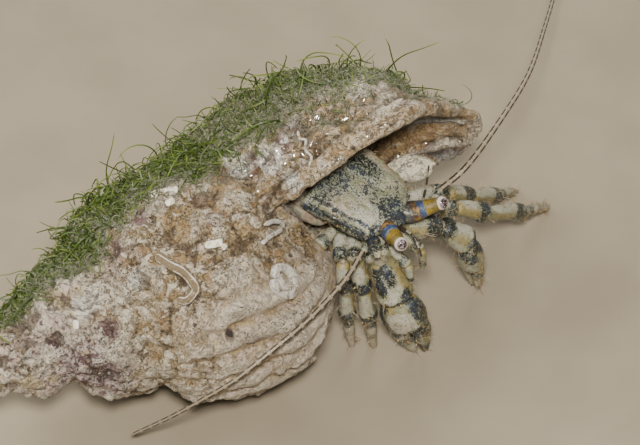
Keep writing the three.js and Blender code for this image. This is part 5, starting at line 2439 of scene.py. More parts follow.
@dataclass
class Eye:
    """An eyestalk with its scale at the foot, and the cornea on its end."""
    side: Side
    root: Point
    yaw: float
    pitch: float
    gaze: Point
    stance: Stance = field(default_factory=Stance)
    thickness: float = 1.0
    cornea: float = 0.98
    stalk: float = 1.85
    seat: float = 0.32

    def direction(self) -> np.ndarray:
        """Which way the stalk points."""
        return self.stance.facing(self.yaw, self.pitch)

    def stalk_form(self) -> Form:
        """The stalk, waisted behind the cornea and swollen at its foot.

        Returns:
            The stalk as one closed form.
        """
        start, direction = self.stance.point(self.root), self.direction()
        high, wide = across(direction, np.array([0.0, 0.0, 1.0]))
        places = np.array([[-0.5, 0.5], [-0.2, 1.15], [0.08, 1.34], [0.3, 1.28], [0.6, 1.12], [1.0, 0.92],
                           [1.12, 0.74]])
        run = np.linspace(0, len(places) - 1.0, 60)
        part, fill = catmull(places, run).T
        ends = np.sqrt(np.clip(np.minimum(run, run[-1] - run) * 2 + 0.02, 0, 1))
        turn = full_turn(40)
        reach = (self.thickness / 2 * fill * ends * (1 + 0.025 * np.sin(part * 40)))[:, None]
        ring = high * (np.cos(turn) * reach)[..., None] + wide * (np.sin(turn) * reach)[..., None]
        centre = start + direction * (part * self.stalk)[:, None]
        values = {"part": np.repeat(part[:, None], 40, axis=1),
                  "low": np.repeat(step(np.cos(turn), 0.1, -0.7)[None, :], 60, axis=0)}
        return rings_form(centre[:, None] + ring, values).outward()

    def cornea_form(self) -> Form:
        """The cornea, a ball a little longer than it is wide.

        Returns:
            The cornea, with how squarely each point faces its gaze.
        """
        centre = self.stance.point(self.root) + self.direction() * (self.stalk + self.seat)
        climb = np.linspace(0.02, np.pi - 0.02, 44)
        turn = full_turn(56)
        along, (high, wide) = self.direction(), across(self.direction(), np.array([0.0, 0.0, 1.0]))
        ball = (along * np.cos(climb)[:, None, None] * 0.94
                + high * (np.sin(climb)[:, None] * np.cos(turn))[..., None]
                + wide * (np.sin(climb)[:, None] * np.sin(turn))[..., None])
        gaze = np.array(self.gaze) / np.linalg.norm(self.gaze)
        return rings_form(centre + ball * self.cornea / 2, {"facing": ball @ gaze}).outward()

    def scale_form(self) -> Form:
        """The small pointed scale over the stalk's foot.

        Returns:
            The scale, marked for its finish.
        """
        limb = Limb("scale", self.side, self.root, [], 0, self.stance)
        inward = -0.42 if self.side is Side.LEFT else 0.42
        start = self.stance.point(np.array(self.root) + np.array([-0.55, inward, 0.25]))
        yaw = self.yaw * 0.35
        tube = limb.tube(start, self.stance.facing(yaw, 6.0), (1.35, 0, 0, 0.62, 0.34), "claw_tip")
        marks = Marks(dark=((0.8, 0.25, 0.7),), amber=0.1, pale=0.8, silt=0.0, hair=0.2)
        return limb.marked(tube, start, self.stance.facing(yaw, 6.0), 1.35, marks, 1, 0.4)


@dataclass
class Feeler:
    """A feeler along a smooth line of steps, each a length, a yaw and a pitch."""
    start: np.ndarray
    line: Sequence[Tuple[float, float, float]]
    thick: float
    thin: float
    stance: Stance = field(default_factory=Stance)
    joint: float = 0.24
    knots: int = 140

    def tree(self) -> bpy.types.NodeTree:
        """A tree that sweeps a jointed, tapering tube along a line.

        Returns:
            The tree, with inputs for its length, thickness and joints.
        """
        tree = Growth("feeler", {"Thick": self.thick, "Thin": self.thin, "Joint": self.joint,
                                 "Points": 260.0, "Sides": 12.0})
        given = tree.given
        curve = tree.node("GeometryNodeMeshToCurve", None, {0: given("Geometry")})
        even = tree.node("GeometryNodeResampleCurve", None, {"Curve": curve, "Count": given("Points")})
        part = tree.node("GeometryNodeSplineParameter", None, None, "Factor")
        run = tree.node("GeometryNodeSplineParameter", None, None, "Length")
        tangent = tree.node("GeometryNodeInputTangent")
        flank = tree.node("ShaderNodeVectorMath", {"operation": "CROSS_PRODUCT"},
                          {0: tangent, 1: (0.0, -0.6, 0.8)})
        even = tree.node("GeometryNodeSetCurveNormal", {"mode": "FREE"}, {"Curve": even, "Normal": flank})
        marked = tree.store(tree.store(even, "run", run), "up", part)
        swelling = (run * TAU / given("Joint")).math("SINE") * 0.07 + 1.0
        ends = tree.smooth(part, 0.0, 0.004) * tree.smooth(part, 1.0, 0.985) * 0.85 + 0.15
        width = (given("Thick") + (given("Thin") - given("Thick")) * part ** 0.8) * 0.5 * swelling * ends
        ring = tree.node("GeometryNodeCurvePrimitiveCircle", {"mode": "RADIUS"},
                         {"Resolution": given("Sides"), "Radius": 1.0})
        around = tree.node("GeometryNodeSplineParameter", None, None, "Factor")
        ring = tree.store(ring, "around", around)
        swept = tree.node("GeometryNodeCurveToMesh", None,
                          {"Curve": marked, "Profile Curve": ring, "Scale": width, "Fill Caps": True})
        return tree.close(swept)

    def mesh(self, finish: bpy.types.Material) -> bpy.types.Mesh:
        """The feeler as a finished mesh, in metres.

        Args:
            finish: The feeler's material.

        Returns:
            The mesh, with its values.
        """
        points = [np.asarray(self.start)]
        for length, yaw, pitch in self.line:
            points.append(points[-1] + self.stance.facing(yaw, pitch) * length)
        dense = catmull(np.array(points), np.linspace(0, len(points) - 1.0, self.knots))
        line = bpy.data.meshes.new("line")
        line.from_pydata(dense.tolist(), [(i, i + 1) for i in range(len(dense) - 1)], [])
        mesh = grown(self.tree(), line, {"Finish": finish})
        keep_off_floor(mesh)
        mesh.transform(Matrix.Scale(MM, 4))
        mesh.polygons.foreach_set("use_smooth", [True] * len(mesh.polygons))
        return mesh


# ---------------------------------------------------------------- tufts


@dataclass(frozen=True)
class Strand:
    """One strand of a tuft: a thin three-sided blade that tapers and bends."""
    length: float
    width: float
    bends: int
    curl: float
    taper: float = 0.5

    def form(self, seed: int, spread: float, root: Tuple[float, float] = (0.0, 0.0)) -> Form:
        """Make the strand, standing up from the origin.

        Args:
            seed: Which of its chance shapes.
            spread: How far it leans out, in degrees.
            root: Where in the tuft it stands.

        Returns:
            The strand, with its height as "up" and a small map of its own as "leaf".
        """
        rng = np.random.default_rng(seed)
        lean, turn = math.radians(spread * rng.uniform(0.3, 1.0)), rng.uniform(0, TAU)
        curl = self.curl * rng.uniform(0.5, 1.3)
        sway, swing = rng.uniform(-0.8, 0.8), rng.uniform(-0.5, 1.2)
        way = Vector((math.sin(lean) * math.cos(turn), math.sin(lean) * math.sin(turn), math.cos(lean)))
        axis = way.cross(Vector((math.cos(turn + sway), math.sin(turn + sway), 0.2))).normalized()
        spot, points, up, around, faces = Vector((*root, 0.0)), [], [], [], []
        for i in range(self.bends):
            part = i / self.bends
            reach = self.width / 2 * (1 - self.taper * part)
            other = way.cross(axis)
            for j in range(3):
                angle = TAU * j / 3
                points.append(spot + (axis * math.cos(angle) + other * math.sin(angle)) * reach)
                up.append(part)
                around.append(j / 3)
            spot = spot + way * self.length / self.bends
            bend = curl / self.bends * (1.0 if part < 0.5 else swing)
            way = (Matrix.Rotation(bend, 3, axis) @ way + axis * (sway * 0.35 / self.bends)).normalized()
            axis = (axis - way * axis.dot(way)).normalized()
        points.append(spot)
        up.append(1.0)
        around.append(0.5)
        for i, j in itertools.product(range(self.bends - 1), range(3)):
            a, b = i * 3 + j, i * 3 + (j + 1) % 3
            faces.append((a, b, b + 3, a + 3))
        tip, last = len(points) - 1, (self.bends - 1) * 3
        faces.extend([(last, last + 1, tip), (last + 1, last + 2, tip), (last + 2, last, tip), (0, 2, 1)])
        leaf = np.stack([around, up, np.zeros(len(up))], axis=-1)
        return Form(np.array(points), faces, {"up": np.array(up), "leaf": leaf})


@dataclass
class Coat:
    """Tufts of one kind over a surface, thick where it says they grow."""
    name: str
    strands: Sequence[Strand]
    per_tuft: int
    spread: float
    density: float
    smallest: float
    largest: float
    lean: float
    disorder: float
    seed: int
    weight: str = "growth"
    variants: int = 6
    mouth: Optional[WhorlRule] = None
    wall: float = 0.75
    mouth_end: float = 0.72

    def shapes(self) -> bpy.types.Collection:
        """The kinds of tuft, kept out of the scene.

        Returns:
            A collection with one object for each kind of tuft.
        """
        made = bpy.data.collections.new(self.name)
        for number in range(self.variants):
            strand = self.strands[number % len(self.strands)]
            gap = strand.width * 1.3 if self.per_tuft > 1 else 0.0
            forms = []
            for i in range(self.per_tuft):
                angle = TAU * i / self.per_tuft
                root = (math.cos(angle) * gap, math.sin(angle) * gap)
                forms.append(strand.form(self.seed * 100 + number * 10 + i, self.spread, root))
            name = f"{self.name}_{number}"
            made.objects.link(bpy.data.objects.new(name, Form.joined(forms).mesh(name)))
        return made

    def tree(self) -> bpy.types.NodeTree:
        """A tree that scatters tufts over a surface and lays them along it.

        Returns:
            The tree, with inputs for its density, size and lean.
        """
        tree = Growth(self.name, {"Density": self.density, "Smallest": self.smallest,
                                  "Largest": self.largest,
                                  "Lean": self.lean, "Disorder": self.disorder})
        given = tree.given
        amount = tree.named(self.weight) * given("Density")
        inputs = {"Mesh": given("Geometry"), "Density": amount, "Seed": given("Seed")}
        points = tree.node("GeometryNodeDistributePointsOnFaces", None, inputs)
        normal = Val(tree, points.socket.node.outputs["Normal"])
        lie = tree.named("lie", "FLOAT_VECTOR")
        chance = tree.vector(tree.random(-1.0, 1.0, 1), tree.random(-1.0, 1.0, 2),
                             tree.random(-1.0, 1.0, 3))
        vectors = "ShaderNodeVectorMath"
        laid = tree.node(vectors, {"operation": "SCALE"}, {0: lie, "Scale": given("Lean")})
        stood = tree.node(vectors, {"operation": "SCALE"}, {0: normal, "Scale": 1.0 - given("Lean")})
        strewn = tree.node(vectors, {"operation": "SCALE"}, {0: chance, "Scale": given("Disorder")})
        way = tree.node(vectors, {"operation": "ADD"}, {0: laid, 1: stood})
        way = tree.node(vectors, {"operation": "ADD"}, {0: way, 1: strewn})
        turned = tree.node("FunctionNodeAlignRotationToVector", {"axis": "Z"}, {"Vector": way})
        spun = tree.vector(0.0, 0.0, tree.random(0.0, TAU, 4))
        spin = tree.node("FunctionNodeEulerToRotation", None, {0: spun})
        placed = tree.node("FunctionNodeRotateRotation", {"rotation_space": "LOCAL"}, {0: turned, 1: spin})
        shapes = tree.node("GeometryNodeCollectionInfo", None,
                           {"Collection": given("Shapes"), "Separate Children": True,
                            "Reset Children": True})
        size = tree.random(0.0, 1.0, 5)
        scale = given("Smallest") + (given("Largest") - given("Smallest")) * size
        which = tree.node("FunctionNodeRandomValue", {"data_type": "INT"},
                          {4: 0, 5: self.variants - 1, "Seed": given("Seed") + 6.0}, 2)
        tufts = tree.node("GeometryNodeInstanceOnPoints", None,
                          {"Points": points, "Instance": shapes, "Pick Instance": True,
                           "Instance Index": which,
                           "Rotation": placed, "Scale": tree.vector(scale, scale, scale)})
        return tree.close(tree.store(tufts, "shade", tree.random(0.0, 1.0, 7), "INSTANCE"))

    def grow(self, host: Form, finish: bpy.types.Material, slot: str,
             stands_for: Sequence[str] = ()) -> bpy.types.Object:
        """Grow the coat on a surface and put it in the scene.

        Args:
            host: The surface, with its weights, its lie and its map.
            finish: The tufts' material.
            slot: Not used.
            stands_for: CAD nodes that the coat replaces.

        Returns:
            The coat as one piece.
        """
        shapes = self.shapes()
        inputs = {"Seed": self.seed, "Finish": finish, "Shapes": shapes}
        mesh = grown(self.tree(), host.mesh("host"), inputs)
        if self.mouth:
            self.clear_mouth(mesh)
        self.map_for_baking(mesh)
        keep_in_box(mesh)
        keep_off_floor(mesh)
        mesh.transform(Matrix.Scale(MM, 4))
        for shape in list(shapes.objects):
            bpy.data.meshes.remove(shape.data)
        bpy.data.collections.remove(shapes)
        return piece_of(mesh, self.name, stands_for)

    def clear_mouth(self, mesh: bpy.types.Mesh) -> None:
        """Take out every tuft that pokes through the wall into the shell's mouth.

        Args:
            mesh: The coat's mesh, still in millimetres.
        """
        count = len(mesh.vertices)
        points, root = np.zeros(count * 3), np.zeros(count * 3)
        mesh.vertices.foreach_get("co", points)
        mesh.attributes["root_uv"].data.foreach_get("vector", root)
        back, _, size = self.mouth.find(points.reshape(-1, 3))
        deep = (1.0 - size) * self.mouth.section(np.maximum(back, 0.0))[2]
        poking = (deep > self.wall) & (back < self.mouth_end)
        _, tuft = np.unique(np.round(root.reshape(-1, 3), 6), axis=0, return_inverse=True)
        tuft = tuft.ravel()
        work = bmesh.new()
        work.from_mesh(mesh)
        work.verts.ensure_lookup_table()
        gone = [work.verts[int(i)] for i in np.flatnonzero(np.isin(tuft, tuft[poking]))]
        bmesh.ops.delete(work, geom=gone, context="VERTS")
        work.to_mesh(mesh)
        work.free()

    @staticmethod
    def map_for_baking(mesh: bpy.types.Mesh) -> None:
        """Give every tuft a small patch of the map, where its root is on the skin's own unwrap.

        Args:
            mesh: The coat's mesh.
        """
        count = len(mesh.vertices)
        root, leaf = np.zeros(count * 3), np.zeros(count * 3)
        mesh.attributes["root_uv"].data.foreach_get("vector", root)
        mesh.attributes["leaf"].data.foreach_get("vector", leaf)
        spot = root.reshape(-1, 3)[:, :2] + (leaf.reshape(-1, 3)[:, :2] - 0.5) * PATCH
        corners = np.zeros(len(mesh.loops), np.int32)
        mesh.loops.foreach_get("vertex_index", corners)
        layer = mesh.uv_layers.new(name="OFBake")
        layer.data.foreach_set("uv", np.clip(spot[corners], MAP_EDGE, 1.0 - MAP_EDGE).ravel())


# ---------------------------------------------------------------- the crab's limbs

PALE_THIGH = Marks(dark=((0.85, 0.12, 0.85), (0.25, 0.08, 0.6)), amber=0.3, pale=0.7, silt=0.12, hair=0.15)
BANDED = Marks(dark=((0.72, 0.20, 1.1),), amber=0.5, pale=0.6, silt=0.15, hair=0.3)
DARK_SHIN = Marks(dark=((0.78, 0.12, 1.05),), amber=0.5, pale=0.5, silt=0.25, hair=0.5)
TOE = Marks(dark=((0.10, 0.08, 0.9), (0.5, 0.10, 0.7)), amber=0.5, pale=0.3, silt=0.6, hair=0.9)
INNER = Marks(dark=((0.7, 0.14, 0.8),), amber=0.4, pale=0.3, silt=0.25, hair=0.5)

# Each limb: its root on the body, then its plates, each with its length, yaw, pitch, width and depth.
CLAW_TABLE = {
    Side.RIGHT: ((-2.2, -0.5, -2.5), [
        Segment("merus", (1.95, -36, -12, 1.8, 1.8), "coxa",
                Marks(dark=((0.6, 0.2, 0.8),), amber=0.3, pale=0.6, silt=0.1, hair=0.2)),
        Segment("carpus", (3.45, 5, -68, 2.5, 2.2), "link",
                Marks(dark=((0.93, 0.05, 0.8),), amber=0.6, pale=0.5, pinkish=0.1, silt=0.1, hair=0.3,
                      blots=((0.42, 0.52, 0.30, 0.42), (0.28, -0.42, 0.22, 0.36),
                             (0.10, 0.1, 0.09, 0.9), (0.80, -0.9, 0.15, 0.4)))),
        Segment("palm", (3.15, 42, -74, 3.1, 2.4), "hand",
                Marks(dark=((0.50, 0.12, 1.0), (0.86, 0.12, 1.1)), amber=0.8, pale=0.45, pinkish=0.9,
                      silt=0.25, hair=0.5, blots=((0.1, -1.3, 0.25, 0.5), (0.25, 1.3, 0.25, 0.5)))),
        Segment("finger", (3.4, 73, -71, 1.3, 1.3), "toe",
                Marks(dark=((0.1, 0.1, 0.9), (0.5, 0.14, 1.0)), amber=0.5, pale=0.3, pinkish=0.3,
                      silt=0.4, hair=0.6))]),
    Side.LEFT: ((-0.9, 1.5, -2.5), [
        Segment("merus", (2.85, 52, -18, 1.5, 1.6), "coxa",
                Marks(dark=((0.78, 0.3, 1.15),), amber=0.35, pale=0.35, silt=0.15, hair=0.9)),
        Segment("carpus", (3.0, 46, -49, 1.9, 1.8), "link",
                Marks(dark=((0.06, 0.2, 1.2), (0.95, 0.13, 1.2)), amber=0.35, pale=0.8, silt=0.1,
                      hair=0.6)),
        Segment("palm", (3.4, 93, -77, 2.0, 1.7), "hand",
                Marks(dark=((0.06, 0.10, 1.2), (0.5, 0.08, 0.7)), amber=0.35, pale=0.7, pinkish=0.2,
                      silt=0.3, hair=0.4)),
        Segment("finger", (3.45, 132, -73, 0.9, 1.0), "toe",
                Marks(dark=((0.2, 0.12, 0.9),), amber=0.4, pale=0.4, pinkish=0.2, silt=0.6,
                      hair=0.6))]),
}
LEG_NAMES = ("merus", "carpus", "propodus", "dactyl")
LEG_OUTLINES = ("coxa", "link", "link", "toe")
LEG_MARKS = (PALE_THIGH, BANDED, DARK_SHIN, TOE)
LEG_TABLE = {
    (2, Side.RIGHT): ((-3.3, -0.9, -2.6), (
        (2.4, -53, 2, 1.2, 1.5), (2.85, 17, -79, 1.25, 1.35), (3.45, 66, -81, 1.2, 1.2),
        (3.65, 84, -82, 0.9, 0.9))),
    (2, Side.LEFT): ((-2.0, 1.8, -2.6), (
        (5.1, 59, -16, 1.2, 1.5), (3.5, 66, -41, 1.25, 1.35), (5.3, 81, -40, 1.15, 1.2),
        (4.2, 88, -38, 0.9, 0.9))),
    (3, Side.RIGHT): ((-4.4, -1.0, -2.5), (
        (2.75, -52, -6, 1.2, 1.4), (2.9, 14, -85, 1.2, 1.3), (3.3, 101, -83, 1.2, 1.2),
        (3.3, 44, -85, 0.85, 0.85))),
    (3, Side.LEFT): ((-3.0, 2.0, -2.6), (
        (5.4, 63, -13, 1.2, 1.5), (3.1, 74, -45, 1.2, 1.3), (5.2, 90, -43, 1.1, 1.15),
        (4.3, 96, -41, 0.85, 0.85))),
}
SMALL_TABLE = {
    ("leg_4", Side.RIGHT): ((-4.3, -1.9, -1.7), ((1.7, -95, -8, 1.0, 1.0), (1.3, -140, -40, 0.8, 0.8))),
    ("leg_4", Side.LEFT): ((-5.3, 1.9, -1.6), ((2.3, 110, 10, 1.0, 1.0), (1.8, 140, 5, 0.8, 0.8))),
    ("mouth_limb", Side.RIGHT): ((-0.75, -0.5, -2.4), ((1.9, -5, -25, 0.8, 0.8),
                                                       (1.7, 15, -84, 0.65, 0.65))),
    ("mouth_limb", Side.LEFT): ((-0.75, 0.7, -2.4), ((1.9, 8, -25, 0.8, 0.8), (1.7, -8, -84, 0.65, 0.65))),
    ("antenna", Side.RIGHT): ((-1.0, -0.9, -1.35), ((0.9, -111, 4, 0.95, 0.95),
                                                    (1.3, -90, 16, 0.75, 0.75))),
    ("antenna", Side.LEFT): ((-0.35, 1.5, -1.2), ((1.95, 68, 9, 0.95, 0.95), (1.1, 88, 45, 0.75, 0.75))),
}
# The scales by the long feelers: place, yaw, size.
FEELER_SCALES = {
    Side.RIGHT: ((-1.5, -1.75, -0.95), -38.0, (1.9, 0, 0, 1.2, 0.7)),
    Side.LEFT: ((-1.0, 1.85, -0.75), 40.0, (1.7, 0, 0, 1.0, 0.6)),
}
# The feelers' lines: steps, each with its length, yaw and pitch.
ANTENNA_LINES = {
    Side.RIGHT: ((2.85, -81, 2), (3.85, -93, -3), (3.55, -104, -10), (3.0, -121, -32), (2.9, -149, -46),
                 (3.65, -157, -48), (3.9, -156, -44)),
    Side.LEFT: ((2.45, 65, 30), (4.75, 94, 0), (5.9, 102, -12), (7.1, 111, -18), (6.3, 113, -19),
                (5.4, 117, -22)),
}
ANTENNULE_LINES = {
    Side.RIGHT: ((-0.35, 0.15, -0.75), ((1.3, -14, 8), (1.1, -25, -35), (1.0, -10, -75))),
    Side.LEFT: ((-0.2, 0.95, -0.75), ((1.2, 83, 12), (1.6, 65, 74), (2.1, 100, 78))),
}
# Worm tubes on the shell: places as (whorls back, angle on the whorl), radius, how white.
WORM_PATHS = (
    (((0.972, -0.62), (0.955, -0.55), (0.938, -0.46), (0.922, -0.42), (0.909, -0.43), (0.902, -0.55),
      (0.908, -0.66)), 0.40, 0.0),
    (((0.881, 0.23), (0.892, 0.28), (0.890, 0.36), (0.876, 0.42), (0.860, 0.40), (0.853, 0.32),
      (0.860, 0.23), (0.873, 0.19), (0.884, 0.22)), 0.37, 1.0),
    (((0.887, 0.28), (0.876, 0.27), (0.866, 0.28), (0.859, 0.30)), 0.27, 1.0),
    (((0.953, 0.44), (0.955, 0.60), (0.949, 0.70), (0.940, 0.66), (0.936, 0.52), (0.934, 0.42),
      (0.929, 0.28)), 0.18, 1.0),
    (((0.042, -0.50), (0.034, -0.55), (0.028, -0.53), (0.020, -0.60), (0.010, -0.62), (0.004, -0.70)),
     0.11, 1.0),
)
# Spots on the shell: kind, whorls back, angle on the whorl, radius.
SHELL_MARKS = (
    # the white spots at (0.040, -0.93) and (0.006, -0.95) lie under the wet glints: white lime and painted
    # highlight together
    (Mark.PLUM, 0.045, -0.55, 1.7), (Mark.WHITE, 0.040, -0.93, 1.7), (Mark.WHITE, 0.077, -1.16, 1.5),
    (Mark.WHITE, 0.006, -0.95, 1.3), (Mark.BROWN, 1.017, 0.10, 1.4), (Mark.PLUM, 1.047, 0.33, 1.1),
    (Mark.BROWN, 0.068, -1.24, 0.8), (Mark.PLUM, 0.058, -1.08, 1.0), (Mark.WHITE, 0.962, -0.92, 1.0),
    (Mark.WHITE, 0.950, -1.05, 0.8), (Mark.OCHRE, 1.000, -0.20, 2.6), (Mark.OCHRE, 0.945, 0.15, 2.2),
    (Mark.PLUM, 1.035, -0.50, 0.9), (Mark.PLUM, 1.020, -1.00, 1.1), (Mark.PLUM, 1.900, -0.15, 1.1),
    (Mark.PLUM, 1.930, -1.00, 0.9), (Mark.WHITE, 1.960, -0.25, 1.5), (Mark.WHITE, 1.060, -0.75, 1.0),
    (Mark.BROWN, 0.861, -0.18, 0.8), (Mark.BROWN, 0.817, -0.13, 0.9), (Mark.WHITE, 0.040, 0.05, 1.2),
    (Mark.PLUM, 0.030, 0.12, 0.8), (Mark.PLUM, 0.030, 0.80, 1.4), (Mark.OCHRE, 0.035, -0.20, 1.5),
    (Mark.OCHRE, 0.893, 1.10, 2.2), (Mark.PLUM, 0.985, 0.05, 0.8), (Mark.WHITE, 0.873, 0.31, 1.1),
    (Mark.WHITE, 2.900, -0.40, 0.8),
)
# Holes bored in the shell: place and radius.
BORE_HOLES = (((2.66, -10.63, 12.13), 0.56), ((2.79, -12.17, 11.80), 0.68), ((-2.09, -18.93, 11.47), 0.44))
# Ledges of the lip's layers inside the mouth: angle on the whorl, half width, height.
LIP_LEDGES = ((1.30, 0.06, 0.28), (1.46, 0.14, 0.20), (1.61, 0.07, -0.45), (1.71, 0.06, 0.2))
# Loose flakes: whorls back, angle on the whorl, size, how far it is turned.
FLAKES = (
    (1.049, -0.12, (1.8, 0.66, 0.11), 2.0), (1.030, -0.16, (0.6, 0.5, 0.10), 20.0),
    (0.952, -0.08, (1.15, 0.5, 0.10), 12.0), (0.944, -0.02, (0.4, 0.3, 0.08), 60.0),
    (0.090, -1.15, (0.7, 0.4, 0.14), -30.0), (1.930, -0.60, (0.6, 0.4, 0.14), 75.0),
    (0.330, -0.60, (0.8, 0.5, 0.14), 10.0), (1.400, 0.10, (0.7, 0.5, 0.14), 50.0),
)

# What grows on the crab and on its shell.
BRISTLE = StrandFinish("bristle", root=rgb(0.10, 0.065, 0.025), leaf=rgb(0.30, 0.21, 0.10),
                       tip=rgb(0.42, 0.35, 0.24), dust=rgb(0.38, 0.33, 0.24), dusty=0.45)
HORN = StrandFinish("spine", root=rgb(0.12, 0.08, 0.03), leaf=rgb(0.40, 0.28, 0.11),
                    tip=rgb(0.62, 0.56, 0.42), dust=rgb(0.40, 0.34, 0.24), dusty=0.2)
GREEN_WEED = StrandFinish("green_weed", root=rgb(0.014, 0.025, 0.004), leaf=rgb(0.050, 0.085, 0.007),
                          tip=rgb(0.14, 0.19, 0.022), dust=rgb(0.12, 0.13, 0.065), dusty=0.18)
GREY_TURF = StrandFinish("grey_turf", root=rgb(0.030, 0.040, 0.013), leaf=rgb(0.085, 0.105, 0.036),
                         tip=rgb(0.17, 0.185, 0.09), dust=rgb(0.17, 0.165, 0.11), dusty=0.38)
PALE_FUZZ = StrandFinish("pale_fuzz", root=rgb(0.07, 0.078, 0.04), leaf=rgb(0.17, 0.18, 0.12),
                         tip=rgb(0.30, 0.30, 0.24), dust=rgb(0.26, 0.24, 0.18), dusty=0.35)
BRISTLES = Coat("bristles", (Strand(0.62, 0.035, 4, 0.7), Strand(0.4, 0.03, 3, 0.5)), per_tuft=2,
                spread=28.0, density=9.0, smallest=0.4, largest=1.15, lean=0.72, disorder=0.22, seed=5)
SPINES = Coat("spines", (Strand(0.20, 0.14, 3, 0.15),), per_tuft=1, spread=4.0, density=1.3, smallest=0.5,
              largest=1.1, lean=0.45, disorder=0.1, seed=8, weight="spines")
FILAMENTS = Coat("weed-filaments", (Strand(2.6, 0.15, 12, 5.6, 0.3), Strand(3.6, 0.14, 13, 4.4, 0.3),
                                    Strand(2.2, 0.15, 12, 7.0, 0.3), Strand(4.4, 0.13, 13, 2.8, 0.4)),
                 per_tuft=1, spread=80.0, density=6.4, smallest=0.35, largest=1.15, lean=0.4, disorder=0.7,
                 seed=3, variants=18, mouth=WhorlRule())
CURLS = Coat("weed-curls", (Strand(1.4, 0.13, 8, 5.5, 0.3), Strand(1.1, 0.12, 8, 7.0, 0.3),
                            Strand(1.7, 0.13, 9, 4.6, 0.3)),
             per_tuft=2, spread=85.0, density=5.2, smallest=0.4, largest=1.1, lean=0.3, disorder=0.8,
             seed=6, variants=18, mouth=WhorlRule())
TANGLE = Coat("weed-tangle", (Strand(1.9, 0.10, 10, 7.5, 0.2), Strand(2.4, 0.09, 10, 6.0, 0.2)),
              per_tuft=1, spread=85.0, density=5.0, smallest=0.4, largest=1.1, lean=0.5, disorder=0.8,
              seed=9, variants=16, mouth=WhorlRule())
TURF = Coat("weed-turf", (Strand(0.65, 0.09, 3, 1.8, 0.4), Strand(0.45, 0.08, 3, 2.4, 0.4)), per_tuft=3,
            spread=70.0, density=5.6, smallest=0.5, largest=1.5, lean=0.3, disorder=0.7, seed=4,
            weight="turf")
FUZZ = Coat("weed-fuzz", (Strand(0.6, 0.035, 3, 2.2, 0.4), Strand(0.9, 0.03, 4, 2.8, 0.4)), per_tuft=4,
            spread=80.0, density=12.0, smallest=0.5, largest=1.3, lean=0.35, disorder=0.8, seed=7,
            weight="fuzz")


